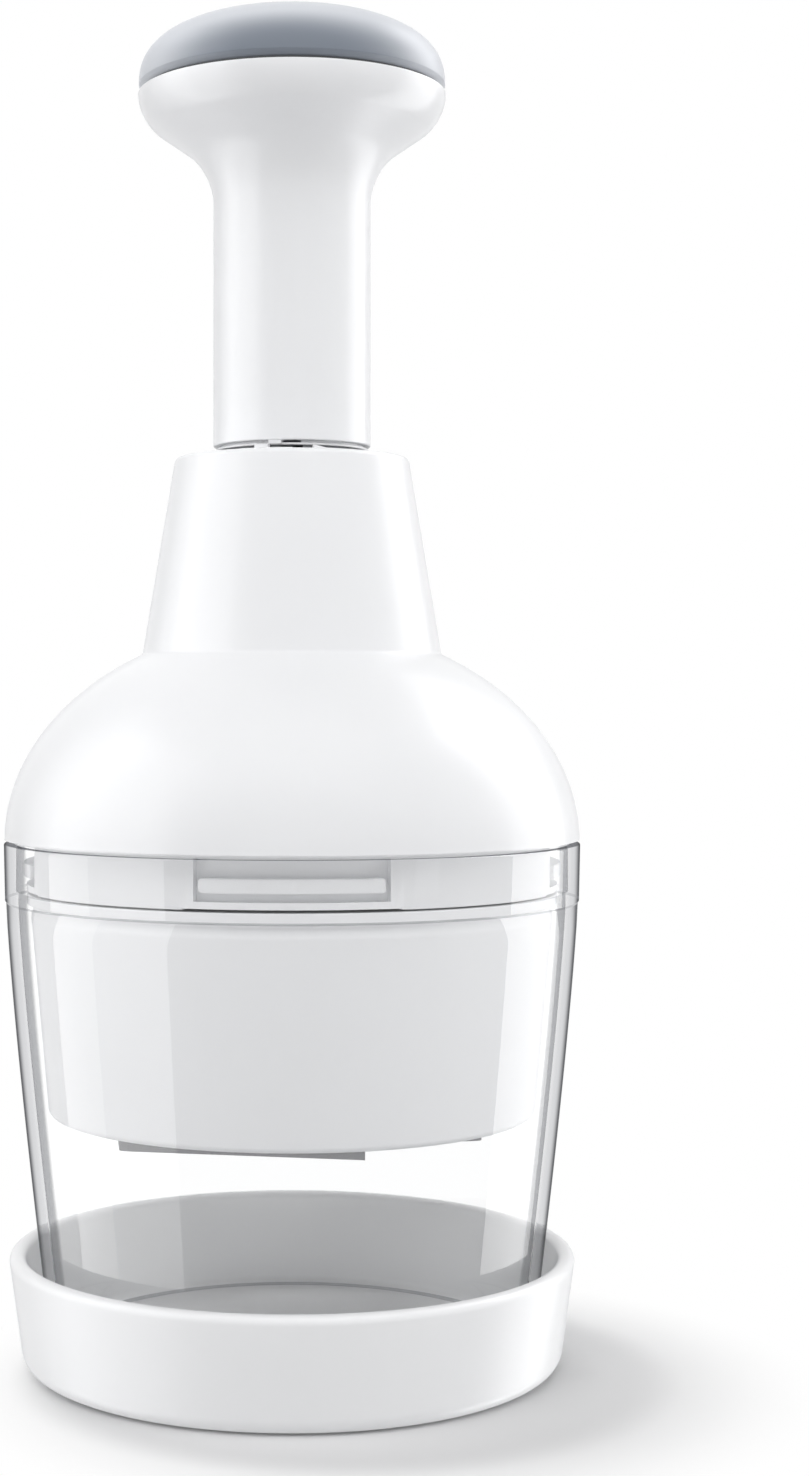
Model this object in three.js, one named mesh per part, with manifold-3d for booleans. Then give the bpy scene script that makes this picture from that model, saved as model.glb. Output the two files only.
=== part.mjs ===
// Push-down food chopper: a spring-loaded handle on a domed housing, over a clear cup in a base dish.
// Millimetres, +Z up. The origin is the centre of the dish's underside.
import * as THREE from 'three';
import { mergeVertices } from 'three/addons/utils/BufferGeometryUtils.js';
import Module from 'manifold-3d';

const wasm = await Module();
wasm.setup();

// Facets round the revolved pieces, and how far a step of a rounded corner may stand off its arc
const LARGE_FACETS = 40;
const HANDLE_FACETS = 36;
const TOWER_FACETS = 28;
const SMALL_FACETS = 12;
const SECTOR_STEPS = 5;
const ARC_SAG = 0.16;
const DOME_STEPS = 8;
const PAD_STEPS = 6;
const CUP_STEPS = 4;

// Clearances shared by all pieces, the overrun of every cut, and how close corners count as one
const SEAT_GAP = 0.3;
const RUNNING_GAP = 0.35;
const OVERRUN = 6;
const MERGE_DISTANCE = 0.0001;

// Base dish
const DISH_FLARE = 2.7;
const DISH_CLEARANCE = 1.8;
const DISH_HEIGHT = 19.4;
const DISH_WALL = 2.9;
const DISH_FLOOR = 2.6;
const DISH_FOOT_ROUND = 3.2;
const DISH_RIM_ROUND = 1.35;
const DISH_INNER_ROUND = 1.6;
const FOOT_RING_WIDTH = 5.5;
const FOOT_RING_HEIGHT = 0.9;

// Clear cup, open at both ends
const CUP_HEIGHT = 87;
const CUP_RIM_RADIUS = 49.9;
const CUP_TAPER = 8.2;
const CUP_WALL = 2.1;
const CUP_STEP_WIDTH = 0.4;
const CUP_BAND_HEIGHT = 10.1;
const CUP_EDGE_ROUND = 0.5;
const CUP_BOW_EXPONENT = 1.22;

// Domed housing with a tapered neck
const DOME_INSET = 0.1;
const DOME_RISE = 37.8;
const DOME_WALL = 2.2;
const NECK_TAPER = 5.7;
const NECK_SHOULDER = 6.6;
const NECK_HEIGHT = 66.8;
const NECK_ROUND = 1.6;
const BORE_WALL = 1.9;
const BORE_LENGTH = 42;
const NECK_LID = 2.4;
const LIP_NOTCH_WIDTH = 3.6;
const LIP_NOTCH_DEPTH = 0.9;
const LIP_NOTCH_REACH = 1.3;
const LIP_NOTCH_COUNT = 4;
const LIP_NOTCH_TURN = Math.PI / 18;
const LIP_TOOTH_WIDTH = 2.4;
const LIP_TOOTH_HEIGHT = 0.8;

// Inner frame: a floor under the dome with a skirt that goes into the cup
const SKIRT_CLEARANCE = 1.85;
const SKIRT_WALL = 2.4;
const SKIRT_DEPTH = 8.2;
const FRAME_FLOOR = 2.5;
const FRAME_RISE = 1.9;
const LUG_COUNT = 4;
const LUG_POCKET_WIDTH = 31;
const LUG_POCKET_HEIGHT = 6.8;
const LUG_POCKET_DEPTH = 1.5;
const LUG_WIDTH = 29.2;
const LUG_HEIGHT = 2.4;
const LUG_REACH = 0.6;
const LUG_RAISE = 1.35;

// Bayonet between the frame's collar and the blade guard
const DECK_WIDTH = 13.2;
const COLLAR_WALL = 2.2;
const BAYONET_COUNT = 3;
const BAYONET_REACH = 3.4;
const BAYONET_THICKNESS = 1.6;
const BAYONET_SWEEP = Math.PI / 10;
const BAYONET_TWIST = Math.PI / 6;
const BAYONET_SIDE_GAP = Math.PI / 90;
const BAYONET_STOP_SWEEP = Math.PI / 60;
const BAYONET_STOP_HEIGHT = 1.1;

// Blade guard
const GUARD_HEIGHT = 38.2;
const GUARD_TAPER = 3.05;
const GUARD_INSET = 0.75;
const GUARD_WALL = 1.8;
const GUARD_DECK = 1.6;
const GUARD_COLLAR_HEIGHT = 1.8;
const GUARD_EDGE_ROUND = 1.3;
const GUARD_INNER_ROUND = 0.6;

// Screws of the housing side
const SCREW_RADIUS = 1.25;
const SCREW_HEAD_RADIUS = 2.6;
const SCREW_HEAD_HEIGHT = 1.9;
const SCREW_HOLE_GAP = 0.35;
const SCREW_DRIVE_RADIUS = 1.1;
const SCREW_DRIVE_DEPTH = 1;
const SCREW_COUNT = 3;
const BOSS_WALL = 1.9;
const FRAME_SCREW_INSET = 3.45;
const FRAME_SCREW_LENGTH = 11;
const FRAME_SCREW_TURN = Math.PI / 6;
const TOWER_SCREW_CIRCLE = 16;
const TOWER_SCREW_LENGTH = 7;
const TOWER_SCREW_TURN = Math.PI / 2;
const TOWER_BOSS_HEIGHT = 5;

// Guide tower inside the handle's barrel
const TOWER_GAP = 0.4;
const TOWER_WALL = 1.5;
const TOWER_FLANGE_RADIUS = 20;
const TOWER_FLANGE = 2.4;
const KEY_WIDTH = 3;
const KEY_COUNT = 2;
const KEY_HEIGHT = 9;
const KEY_REACH = 1.5;
const SPRING_LEDGE_REACH = 1.6;
const SPRING_LEDGE_HEIGHT = 1.6;

// Handle: barrel and knob in one, with a bevelled grip pad on top
const BARREL_WALL = 1.9;
const BARREL_GAP = 1.9;
const BARREL_GRIP = 10.2;
const BARREL_EDGE_ROUND = 0.5;
const KNOB_OVERHANG = 13.1;
const KNOB_RIM_HEIGHT = 3.9;
const KNOB_WALL = 2.4;
const KNOB_FLARE_HEIGHT = 9.1;
const KNOB_SHOULDER_ROUND = 7.4;
const FLARE_ROUND = 11;
const CEILING_DROP = 5.7;
const CEILING = 3.2;
const CAVITY_FLARE_RAISE = 2.9;
const CAVITY_FLARE_ROUND = 5;
const CAVITY_SHOULDER_ROUND = 5;
const PAD_HEIGHT = 13.3;
const PAD_INSET = 0.15;
const PAD_THICKNESS = 3.2;
const PAD_BEVEL_HEIGHT = 1;
const PAD_BEVEL_WIDTH = 0.55;
const PAD_ROUNDNESS_EXPONENT = 2.5;
const PLUG_HEIGHT = 4.4;
const PLUG_DEPTH = 2.4;
const PLUG_WALL = 1.8;
const CUSHION_THICKNESS = 2;
const CUSHION_WIDTH = 1.8;

// Spindle, bush, washer, nut and pins
const SPINDLE_RADIUS = 3;
const BUSH_WALL = 2.1;
const BUSH_FLANGE_WIDTH = 2.4;
const BUSH_FLANGE = 1.5;
const WASHER_RADIUS = 6.2;
const WASHER_THICKNESS = 1;
const NUT_ACROSS_CORNERS = 9.6;
const NUT_HEIGHT = 3.6;
const NUT_SIDES = 6;
const SPINDLE_STAND = 0.9;
const CROSS_PIN_RADIUS = 1;
const CROSS_PIN_STAND_IN = 0.3;
const SEAL_FLANGE_WIDTH = 2.2;
const SEAL_FLANGE = 1.2;
const SEAL_WALL = 1.1;

// Index drum with its zigzag track, and the pins that ride in it
const DRUM_WALL = 3.7;
const DRUM_GAP = 0.9;
const DRUM_END = 3;
const DRUM_HEAD = 6.5;
const INDEX_PIN_RADIUS = 0.75;
const INDEX_PIN_COUNT = 2;
const INDEX_PIN_DROP = 3.2;
const TRACK_WIDTH = 2;
const TRACK_DEPTH = 1.1;
const TRACK_LEGS = 12;
const TRACK_STEPS = 3;

// Return spring
const SPRING_WIRE = 1.4;
const SPRING_SIDE_GAP = 0.6;
const SPRING_TURNS = 12;
const SPRING_CURL_STEPS = 8;
const SPRING_WIRE_SIDES = 5;
const SPRING_SEAT_THICKNESS = 1;
const LEAST_TURN_GAP = 0.4;

// Folded blade and its carrier
const BLADE_CLEARANCE = 5.25;
const BLADE_THICKNESS = 0.6;
const BLADE_EDGE_THICKNESS = 0.16;
const BLADE_SHOW = 2.7;
const BLADE_BEVEL = 2.2;
const BLADE_HEIGHT = 20.4;
const BLADE_BEND_RADIUS = 1.3;
const RAIL_THICKNESS = 3.6;
const RAIL_HEIGHT = 5;
const GROOVE_GAP = 0.3;
const GROOVE_DEPTH = 3.9;
const PLATE_INSET = 0.6;
const PLATE_THICKNESS = 2;
const PLATE_EDGE_ROUND = 0.8;
const HUB_RADIUS = 8.5;
const HUB_HEIGHT = 8;
const HUB_ROUND = 1;
const FLOOR_CLEARANCE = 0.3;
const STOP_CLEARANCE = 0.2;
const BLADE_PIN_RADIUS = 0.8;
const BLADE_PIN_HOLE_GAP = 0.3;

// Corners of the folded blade as shares of its radius; the other half is this one turned half round
const FOLD_SHARES = [
  [0.335, -0.925],
  [-0.905, -0.675],
  [0.98, -0.43],
];
const BLADE_PIN_SHARES = [0.3, 0.7];

// Radii worked out from the ones above, from the cup inwards and from the spindle outwards
const CUP_MOUTH_RADIUS = CUP_RIM_RADIUS - CUP_TAPER;
const DISH_FOOT_RADIUS = CUP_MOUTH_RADIUS + DISH_CLEARANCE + DISH_WALL;
const DISH_RIM_RADIUS = DISH_FOOT_RADIUS + DISH_FLARE;
const DOME_RADIUS = CUP_RIM_RADIUS - DOME_INSET;
const SKIRT_RADIUS = CUP_RIM_RADIUS - CUP_WALL - SKIRT_CLEARANCE;
const GUARD_TOP_RADIUS = SKIRT_RADIUS - GUARD_INSET;
const GUARD_BOTTOM_RADIUS = GUARD_TOP_RADIUS - GUARD_TAPER;
const COLLAR_RADIUS = GUARD_TOP_RADIUS - GUARD_WALL - DECK_WIDTH;
const BLADE_RADIUS = GUARD_BOTTOM_RADIUS - GUARD_WALL - BLADE_CLEARANCE;
const PLATE_RADIUS = BLADE_RADIUS - PLATE_INSET;
const FRAME_SCREW_CIRCLE = SKIRT_RADIUS - SKIRT_WALL - SCREW_HEAD_RADIUS - FRAME_SCREW_INSET;
const SPINDLE_HOLE_RADIUS = SPINDLE_RADIUS + SEAT_GAP;
const DRUM_RADIUS = SPINDLE_HOLE_RADIUS + DRUM_WALL;
const SPRING_MEAN_RADIUS = DRUM_RADIUS + DRUM_GAP + SPRING_WIRE / 2;
const TOWER_INNER_RADIUS = SPRING_MEAN_RADIUS + SPRING_WIRE / 2 + SPRING_SIDE_GAP;
const SPRING_LEDGE_RADIUS = TOWER_INNER_RADIUS - SPRING_LEDGE_REACH;
const TOWER_RADIUS = TOWER_INNER_RADIUS + TOWER_WALL;
const BARREL_INNER_RADIUS = TOWER_RADIUS + TOWER_GAP;
const BARREL_RADIUS = BARREL_INNER_RADIUS + BARREL_WALL;
const BORE_RADIUS = BARREL_RADIUS + RUNNING_GAP;
const KNOB_RADIUS = BARREL_RADIUS + KNOB_OVERHANG;
const PAD_RADIUS = KNOB_RADIUS - PAD_INSET;
const NECK_TOP_RADIUS = BARREL_RADIUS + NECK_SHOULDER;
const CREASE_RADIUS = NECK_TOP_RADIUS + NECK_TAPER;
const SCREW_HOLE_RADIUS = SCREW_RADIUS + SCREW_HOLE_GAP;
const BOSS_RADIUS = SCREW_HOLE_RADIUS + BOSS_WALL;

// Heights worked out from the ones above, from the dish upwards
const CUP_BOTTOM = DISH_FLOOR + SEAT_GAP;
const CUP_TOP = CUP_BOTTOM + CUP_HEIGHT;
const HOUSING_BASE = CUP_TOP + SEAT_GAP;
const SKIRT_BOTTOM = CUP_TOP - SKIRT_DEPTH;
const GUARD_TOP = SKIRT_BOTTOM - SEAT_GAP;
const GUARD_BOTTOM = GUARD_TOP - GUARD_HEIGHT;
const DECK_UNDERSIDE = GUARD_TOP - GUARD_DECK;
const BLADE_EDGE_Z = GUARD_BOTTOM - BLADE_SHOW;
const STROKE = BLADE_EDGE_Z - DISH_FLOOR - FLOOR_CLEARANCE;
const FRAME_TOP = HOUSING_BASE + FRAME_RISE;
const FRAME_UNDERSIDE = FRAME_TOP - FRAME_FLOOR;
const TOWER_BASE = FRAME_TOP + SEAT_GAP;
const NECK_TOP = HOUSING_BASE + NECK_HEIGHT;
const BARREL_BOTTOM = NECK_TOP + BARREL_GAP;
const FLARE_Z = BARREL_BOTTOM + STROKE + BARREL_GRIP;
const CEILING_Z = FLARE_Z - CEILING_DROP;
const CAVITY_FLARE_Z = FLARE_Z + CAVITY_FLARE_RAISE;
const KNOB_SHOULDER_Z = FLARE_Z + KNOB_FLARE_HEIGHT;
const KNOB_TOP = KNOB_SHOULDER_Z + KNOB_RIM_HEIGHT;
const TOWER_TOP = CEILING_Z - SEAT_GAP - CUSHION_THICKNESS - STROKE - STOP_CLEARANCE;
const DRUM_BOTTOM = FRAME_TOP + STOP_CLEARANCE + STROKE;
const INDEX_PIN_Z = DRUM_BOTTOM + DRUM_END;
const DRUM_TOP = INDEX_PIN_Z + STROKE + DRUM_HEAD;
const DRUM_PIN_Z = DRUM_TOP - DRUM_HEAD / 2 + TRACK_WIDTH / 2;
const SPRING_LEDGE_Z = INDEX_PIN_Z + INDEX_PIN_DROP + SPRING_LEDGE_HEIGHT;
const SPRING_FOOT = SPRING_LEDGE_Z + SEAT_GAP + SPRING_SEAT_THICKNESS + SEAT_GAP;
const SPRING_HEAD = CEILING_Z - SEAT_GAP;
const BLADE_TOP = BLADE_EDGE_Z + BLADE_HEIGHT;
const RAIL_BOTTOM = BLADE_TOP + GROOVE_GAP - GROOVE_DEPTH;
const RAIL_TOP = RAIL_BOTTOM + RAIL_HEIGHT;
const HUB_TOP = RAIL_TOP + HUB_HEIGHT;
const CARRIER_PIN_Z = HUB_TOP - HUB_HEIGHT / 2;
const BUSH_TOP = CEILING_Z + CEILING + SEAT_GAP + BUSH_FLANGE;
const WASHER_Z = BUSH_TOP + SEAT_GAP;
const NUT_Z = WASHER_Z + WASHER_THICKNESS + SEAT_GAP;
const SPINDLE_BOTTOM = RAIL_TOP + SEAT_GAP;
const SPINDLE_TOP = NUT_Z + NUT_HEIGHT - SPINDLE_STAND;

// Looks
const WHITE = { color: 0xf2f2f3, roughness: 0.28, metalness: 0 };
const WARM_GREY = { color: 0xb4b7bb, roughness: 0.4, metalness: 0 };
const PAD_GREY = { color: 0x8b9098, roughness: 0.45, metalness: 0 };
const CLEAR = { color: 0xe6eaec, roughness: 0.05, metalness: 0, transparent: true, opacity: 0.3 };
const STEEL = { color: 0xb9bcc0, roughness: 0.22, metalness: 1 };
const RUBBER = { color: 0x4a4d51, roughness: 0.8, metalness: 0 };

/** Turns a closed three.js geometry into a solid, with shared corners merged. */
function solidOf(geometry) {
  const bare = geometry.clone();
  bare.deleteAttribute('normal');
  bare.deleteAttribute('uv');
  const merged = mergeVertices(bare, MERGE_DISTANCE);
  const index = Array.from(merged.index.array);
  const triangles = [];
  for (let i = 0; i < index.length; i += 3) {
    const [a, b, c] = index.slice(i, i + 3);
    if (a !== b && b !== c && c !== a) triangles.push(a, b, c);
  }
  const mesh = new wasm.Mesh({
    numProp: 3,
    vertProperties: new Float32Array(merged.attributes.position.array),
    triVerts: new Uint32Array(triangles),
  });
  return new wasm.Manifold(mesh);
}

/** Turns a solid back into a geometry with flat normals. */
function geometryOf(solid) {
  const mesh = solid.getMesh();
  const geometry = new THREE.BufferGeometry();
  const position = new Float32Array(mesh.vertProperties);
  geometry.setAttribute('position', new THREE.BufferAttribute(position, 3));
  geometry.setIndex(new THREE.BufferAttribute(new Uint32Array(mesh.triVerts), 1));
  geometry.computeVertexNormals();
  return geometry;
}

/** Joins a list of solids into one. */
function joined(solids) {
  return solids.reduce((whole, solid) => whole.add(solid));
}

/** Takes each of a list of solids away from the first. */
function cutBy(solid, cutters) {
  return cutters.reduce((rest, cutter) => rest.subtract(cutter), solid);
}

/** Corner of an outline at radius r and height z, rounded by an arc if round is given. */
function corner(r, z, round = 0) {
  return { at: new THREE.Vector2(r, z), round };
}

/** Points of the arc that rounds a corner, or the corner itself. */
function cornerPoints(before, here, after) {
  if (here.round === 0) return [here.at];
  const back = before.at.clone().sub(here.at).normalize();
  const on = after.at.clone().sub(here.at).normalize();
  const half = Math.acos(back.dot(on)) / 2;
  const middle = back.clone().add(on).normalize();
  const centre = here.at.clone().addScaledVector(middle, here.round / Math.sin(half));
  const start = here.at.clone().addScaledVector(back, here.round / Math.tan(half)).sub(centre);
  const turn = Math.PI - 2 * half;
  const side = Math.sign(back.cross(on)) || 1;
  const stepTurn = 2 * Math.acos(1 - Math.min(ARC_SAG / here.round, 1 / 2));
  const steps = Math.ceil(turn / stepTurn);
  const points = [];
  for (let i = 0; i <= steps; i += 1) {
    const swing = start.clone().rotateAround(new THREE.Vector2(), (-side * turn * i) / steps);
    points.push(centre.clone().add(swing));
  }
  return points;
}

/** Closed outline through the corners, with an arc at each rounded one. */
function roundedOutline(corners) {
  return corners.flatMap((here, i) => {
    const before = corners[(i + corners.length - 1) % corners.length];
    const after = corners[(i + 1) % corners.length];
    return cornerPoints(before, here, after);
  });
}

/** Solid of revolution about Z from a closed anticlockwise outline of radius and height. */
function revolve(outline, facets) {
  const closed = [...outline, outline[0]];
  const lathe = new THREE.LatheGeometry(closed, facets);
  lathe.rotateX(Math.PI / 2);
  return solidOf(lathe);
}

/** Revolved solid from a list of corners. */
function revolveCorners(corners, facets) {
  return revolve(roundedOutline(corners), facets);
}

/** Ring of rectangular section between two radii and two heights. */
function ring(inner, outer, bottom, top, facets) {
  const corners = [corner(inner, bottom), corner(outer, bottom), corner(outer, top), corner(inner, top)];
  return revolveCorners(corners, facets);
}

/** Upright cylinder between two heights. */
function upright(radius, bottom, top, facets = SMALL_FACETS) {
  const cylinder = new THREE.CylinderGeometry(radius, radius, top - bottom, facets);
  cylinder.rotateX(Math.PI / 2);
  cylinder.translate(0, 0, (top + bottom) / 2);
  return solidOf(cylinder);
}

/** Cylinder along X between two distances from the axis, at a height. */
function radialPin(radius, from, to, z, facets = SMALL_FACETS) {
  const cylinder = new THREE.CylinderGeometry(radius, radius, to - from, facets);
  cylinder.rotateZ(Math.PI / 2);
  cylinder.translate((from + to) / 2, 0, z);
  return solidOf(cylinder);
}

/** Box centred on a point. */
function block(width, depth, height, x, y, z) {
  const box = new THREE.BoxGeometry(width, depth, height);
  box.translate(x, y, z);
  return solidOf(box);
}

/** Ring sector centred on an angle, extruded between two heights. */
function sector(inner, outer, sweep, centreAngle, bottom, top) {
  const shape = new THREE.Shape();
  shape.absarc(0, 0, outer, centreAngle - sweep / 2, centreAngle + sweep / 2, false);
  shape.absarc(0, 0, inner, centreAngle + sweep / 2, centreAngle - sweep / 2, true);
  const options = { depth: top - bottom, bevelEnabled: false, curveSegments: SECTOR_STEPS };
  const extruded = new THREE.ExtrudeGeometry(shape, options);
  extruded.translate(0, 0, bottom);
  return solidOf(extruded);
}

/** Copies of a solid turned evenly about Z, from a first angle. */
function turnedCopies(solid, count, first = 0) {
  return Array.from({ length: count }, (_, i) => {
    const degrees = THREE.MathUtils.radToDeg(first + (2 * Math.PI * i) / count);
    return solid.rotate([0, 0, degrees]);
  });
}

/** Named mesh of a solid, ready for the group. */
function part(name, solid, look) {
  const mesh = new THREE.Mesh(geometryOf(solid), new THREE.MeshStandardMaterial({ ...look }));
  mesh.name = name;
  return mesh;
}

/** Dish that the cup stands in, with a low foot ring under it. */
function makeDish() {
  const innerFoot = DISH_FOOT_RADIUS - DISH_WALL;
  const innerRim = DISH_RIM_RADIUS - DISH_WALL;
  const footRing = DISH_FOOT_RADIUS - DISH_FOOT_ROUND - FOOT_RING_WIDTH;
  const corners = [
    corner(0, FOOT_RING_HEIGHT),
    corner(footRing - FOOT_RING_HEIGHT, FOOT_RING_HEIGHT),
    corner(footRing, 0),
    corner(DISH_FOOT_RADIUS, 0, DISH_FOOT_ROUND),
    corner(DISH_RIM_RADIUS, DISH_HEIGHT, DISH_RIM_ROUND),
    corner(innerRim, DISH_HEIGHT, DISH_RIM_ROUND),
    corner(innerFoot, DISH_FLOOR, DISH_INNER_ROUND),
    corner(0, DISH_FLOOR),
  ];
  return revolveCorners(corners, LARGE_FACETS);
}

/** Radius of the cup's outside below its band, which bows outwards on the way up. */
function cupRadiusAt(share) {
  const bandRadius = CUP_RIM_RADIUS - CUP_STEP_WIDTH;
  const rise = 1 - (1 - share) ** CUP_BOW_EXPONENT;
  return CUP_MOUTH_RADIUS + (bandRadius - CUP_MOUTH_RADIUS) * rise;
}

/** Clear cup: a bowed open tube with a slightly wider band round its top. */
function makeCup() {
  const bandBottom = CUP_TOP - CUP_BAND_HEIGHT;
  const side = Array.from({ length: CUP_STEPS + 1 }, (_, i) => {
    const share = i / CUP_STEPS;
    return { r: cupRadiusAt(share), z: CUP_BOTTOM + (bandBottom - CUP_BOTTOM) * share };
  });
  const outside = side.map(({ r, z }, i) => corner(r, z, i === 0 ? CUP_EDGE_ROUND : 0));
  const inside = side.map(({ r, z }, i) => corner(r - CUP_WALL, z, i === 0 ? CUP_EDGE_ROUND : 0));
  const corners = [
    ...outside,
    corner(CUP_RIM_RADIUS, bandBottom + CUP_STEP_WIDTH),
    corner(CUP_RIM_RADIUS, CUP_TOP, CUP_EDGE_ROUND),
    corner(CUP_RIM_RADIUS - CUP_WALL, CUP_TOP, CUP_EDGE_ROUND),
    corner(CUP_RIM_RADIUS - CUP_WALL, bandBottom + CUP_STEP_WIDTH),
    ...inside.reverse(),
  ];
  return revolveCorners(corners, LARGE_FACETS);
}

/** Corners of the dome's arc from its base up to a radius, set in by a wall. */
function domeArc(inset, topRadius) {
  const radius = DOME_RADIUS - inset;
  const rise = DOME_RISE - inset;
  const last = Math.acos(topRadius / radius);
  return Array.from({ length: DOME_STEPS + 1 }, (_, i) => {
    const angle = (last * i) / DOME_STEPS;
    return corner(radius * Math.cos(angle), HOUSING_BASE + rise * Math.sin(angle));
  });
}

/** Shell of the dome and neck, with the bore tube that guides the barrel. */
function makeHousingShell() {
  const outside = domeArc(0, CREASE_RADIUS);
  const inside = domeArc(DOME_WALL, CREASE_RADIUS - DOME_WALL).reverse();
  const boreBottom = NECK_TOP - BORE_LENGTH;
  const corners = [
    ...outside,
    corner(NECK_TOP_RADIUS, NECK_TOP, NECK_ROUND),
    corner(BORE_RADIUS, NECK_TOP),
    corner(BORE_RADIUS, boreBottom),
    corner(BORE_RADIUS + BORE_WALL, boreBottom),
    corner(BORE_RADIUS + BORE_WALL, NECK_TOP - NECK_LID),
    corner(NECK_TOP_RADIUS - DOME_WALL, NECK_TOP - NECK_LID),
    ...inside,
  ];
  return revolveCorners(corners, LARGE_FACETS);
}

/** Angle that a chord of a given width takes at a radius. */
function sweepOf(width, radius) {
  return 2 * Math.asin(width / (2 * radius));
}

/** Notches round the mouth of the bore. */
function makeLipNotches() {
  const outer = BORE_RADIUS + LIP_NOTCH_REACH;
  const sweep = sweepOf(LIP_NOTCH_WIDTH, BORE_RADIUS);
  const inner = BORE_RADIUS - BARREL_WALL;
  const notch = sector(inner, outer, sweep, 0, NECK_TOP - LIP_NOTCH_DEPTH, NECK_TOP + OVERRUN);
  return turnedCopies(notch, LIP_NOTCH_COUNT, LIP_NOTCH_TURN);
}

/** Small tooth on the lip beside the front notch. */
function makeLipTooth() {
  const inner = BORE_RADIUS + RUNNING_GAP;
  const outer = BORE_RADIUS + LIP_NOTCH_REACH;
  const sweep = sweepOf(LIP_TOOTH_WIDTH, BORE_RADIUS);
  const angle = -Math.PI / 2 + 2 * LIP_NOTCH_TURN;
  return sector(inner, outer, sweep, angle, NECK_TOP - NECK_LID, NECK_TOP + LIP_TOOTH_HEIGHT);
}

/** Domed housing with its lip and the three screw bosses under the dome. */
function makeHousing() {
  const shell = makeHousingShell();
  const bossBottom = FRAME_TOP + SEAT_GAP;
  const bossTop = HOUSING_BASE + DOME_RISE;
  const boss = upright(BOSS_RADIUS, bossBottom, bossTop).translate([FRAME_SCREW_CIRCLE, 0, 0]);
  const bosses = joined(turnedCopies(boss, SCREW_COUNT, FRAME_SCREW_TURN));
  const fillTop = HOUSING_BASE + DOME_RISE - OVERRUN;
  const fillArc = domeArc(DOME_WALL / 2, CREASE_RADIUS);
  const fillCorners = [...fillArc, corner(0, fillTop), corner(0, HOUSING_BASE)];
  const domeFill = revolveCorners(fillCorners, LARGE_FACETS);
  const solid = joined([shell, bosses.intersect(domeFill), makeLipTooth()]);
  const pilotTop = FRAME_UNDERSIDE + FRAME_SCREW_LENGTH + SEAT_GAP;
  const pilot = upright(SCREW_HOLE_RADIUS, FRAME_UNDERSIDE, pilotTop, SMALL_FACETS / 2);
  const pilots = turnedCopies(pilot.translate([FRAME_SCREW_CIRCLE, 0, 0]), SCREW_COUNT, FRAME_SCREW_TURN);
  return cutBy(solid, [...pilots, ...makeLipNotches()]);
}

/** Pocket in the skirt and the lug bar that stands in it. */
function makeLugs() {
  const pocketInner = SKIRT_RADIUS - LUG_POCKET_DEPTH;
  const pocketTop = SKIRT_BOTTOM + LUG_RAISE + LUG_POCKET_HEIGHT;
  const pocketSweep = sweepOf(LUG_POCKET_WIDTH, SKIRT_RADIUS);
  const pocketOuter = SKIRT_RADIUS + OVERRUN;
  const pocketBottom = SKIRT_BOTTOM + LUG_RAISE;
  const pocket = sector(pocketInner, pocketOuter, pocketSweep, -Math.PI / 2, pocketBottom, pocketTop);
  const barBottom = pocketBottom + LUG_RAISE;
  const barInner = pocketInner - LUG_REACH;
  const barOuter = SKIRT_RADIUS + LUG_REACH;
  const barSweep = sweepOf(LUG_WIDTH, SKIRT_RADIUS);
  const bar = sector(barInner, barOuter, barSweep, -Math.PI / 2, barBottom, barBottom + LUG_HEIGHT);
  return { pockets: turnedCopies(pocket, LUG_COUNT), bars: turnedCopies(bar, LUG_COUNT) };
}

/** Bayonet tabs that reach out under the guard's deck. */
function makeBayonetTabs() {
  const top = DECK_UNDERSIDE - SEAT_GAP;
  const inner = COLLAR_RADIUS - COLLAR_WALL / 2;
  const outer = COLLAR_RADIUS + BAYONET_REACH;
  const tab = sector(inner, outer, BAYONET_SWEEP, 0, top - BAYONET_THICKNESS, top);
  return turnedCopies(tab, BAYONET_COUNT);
}

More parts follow.
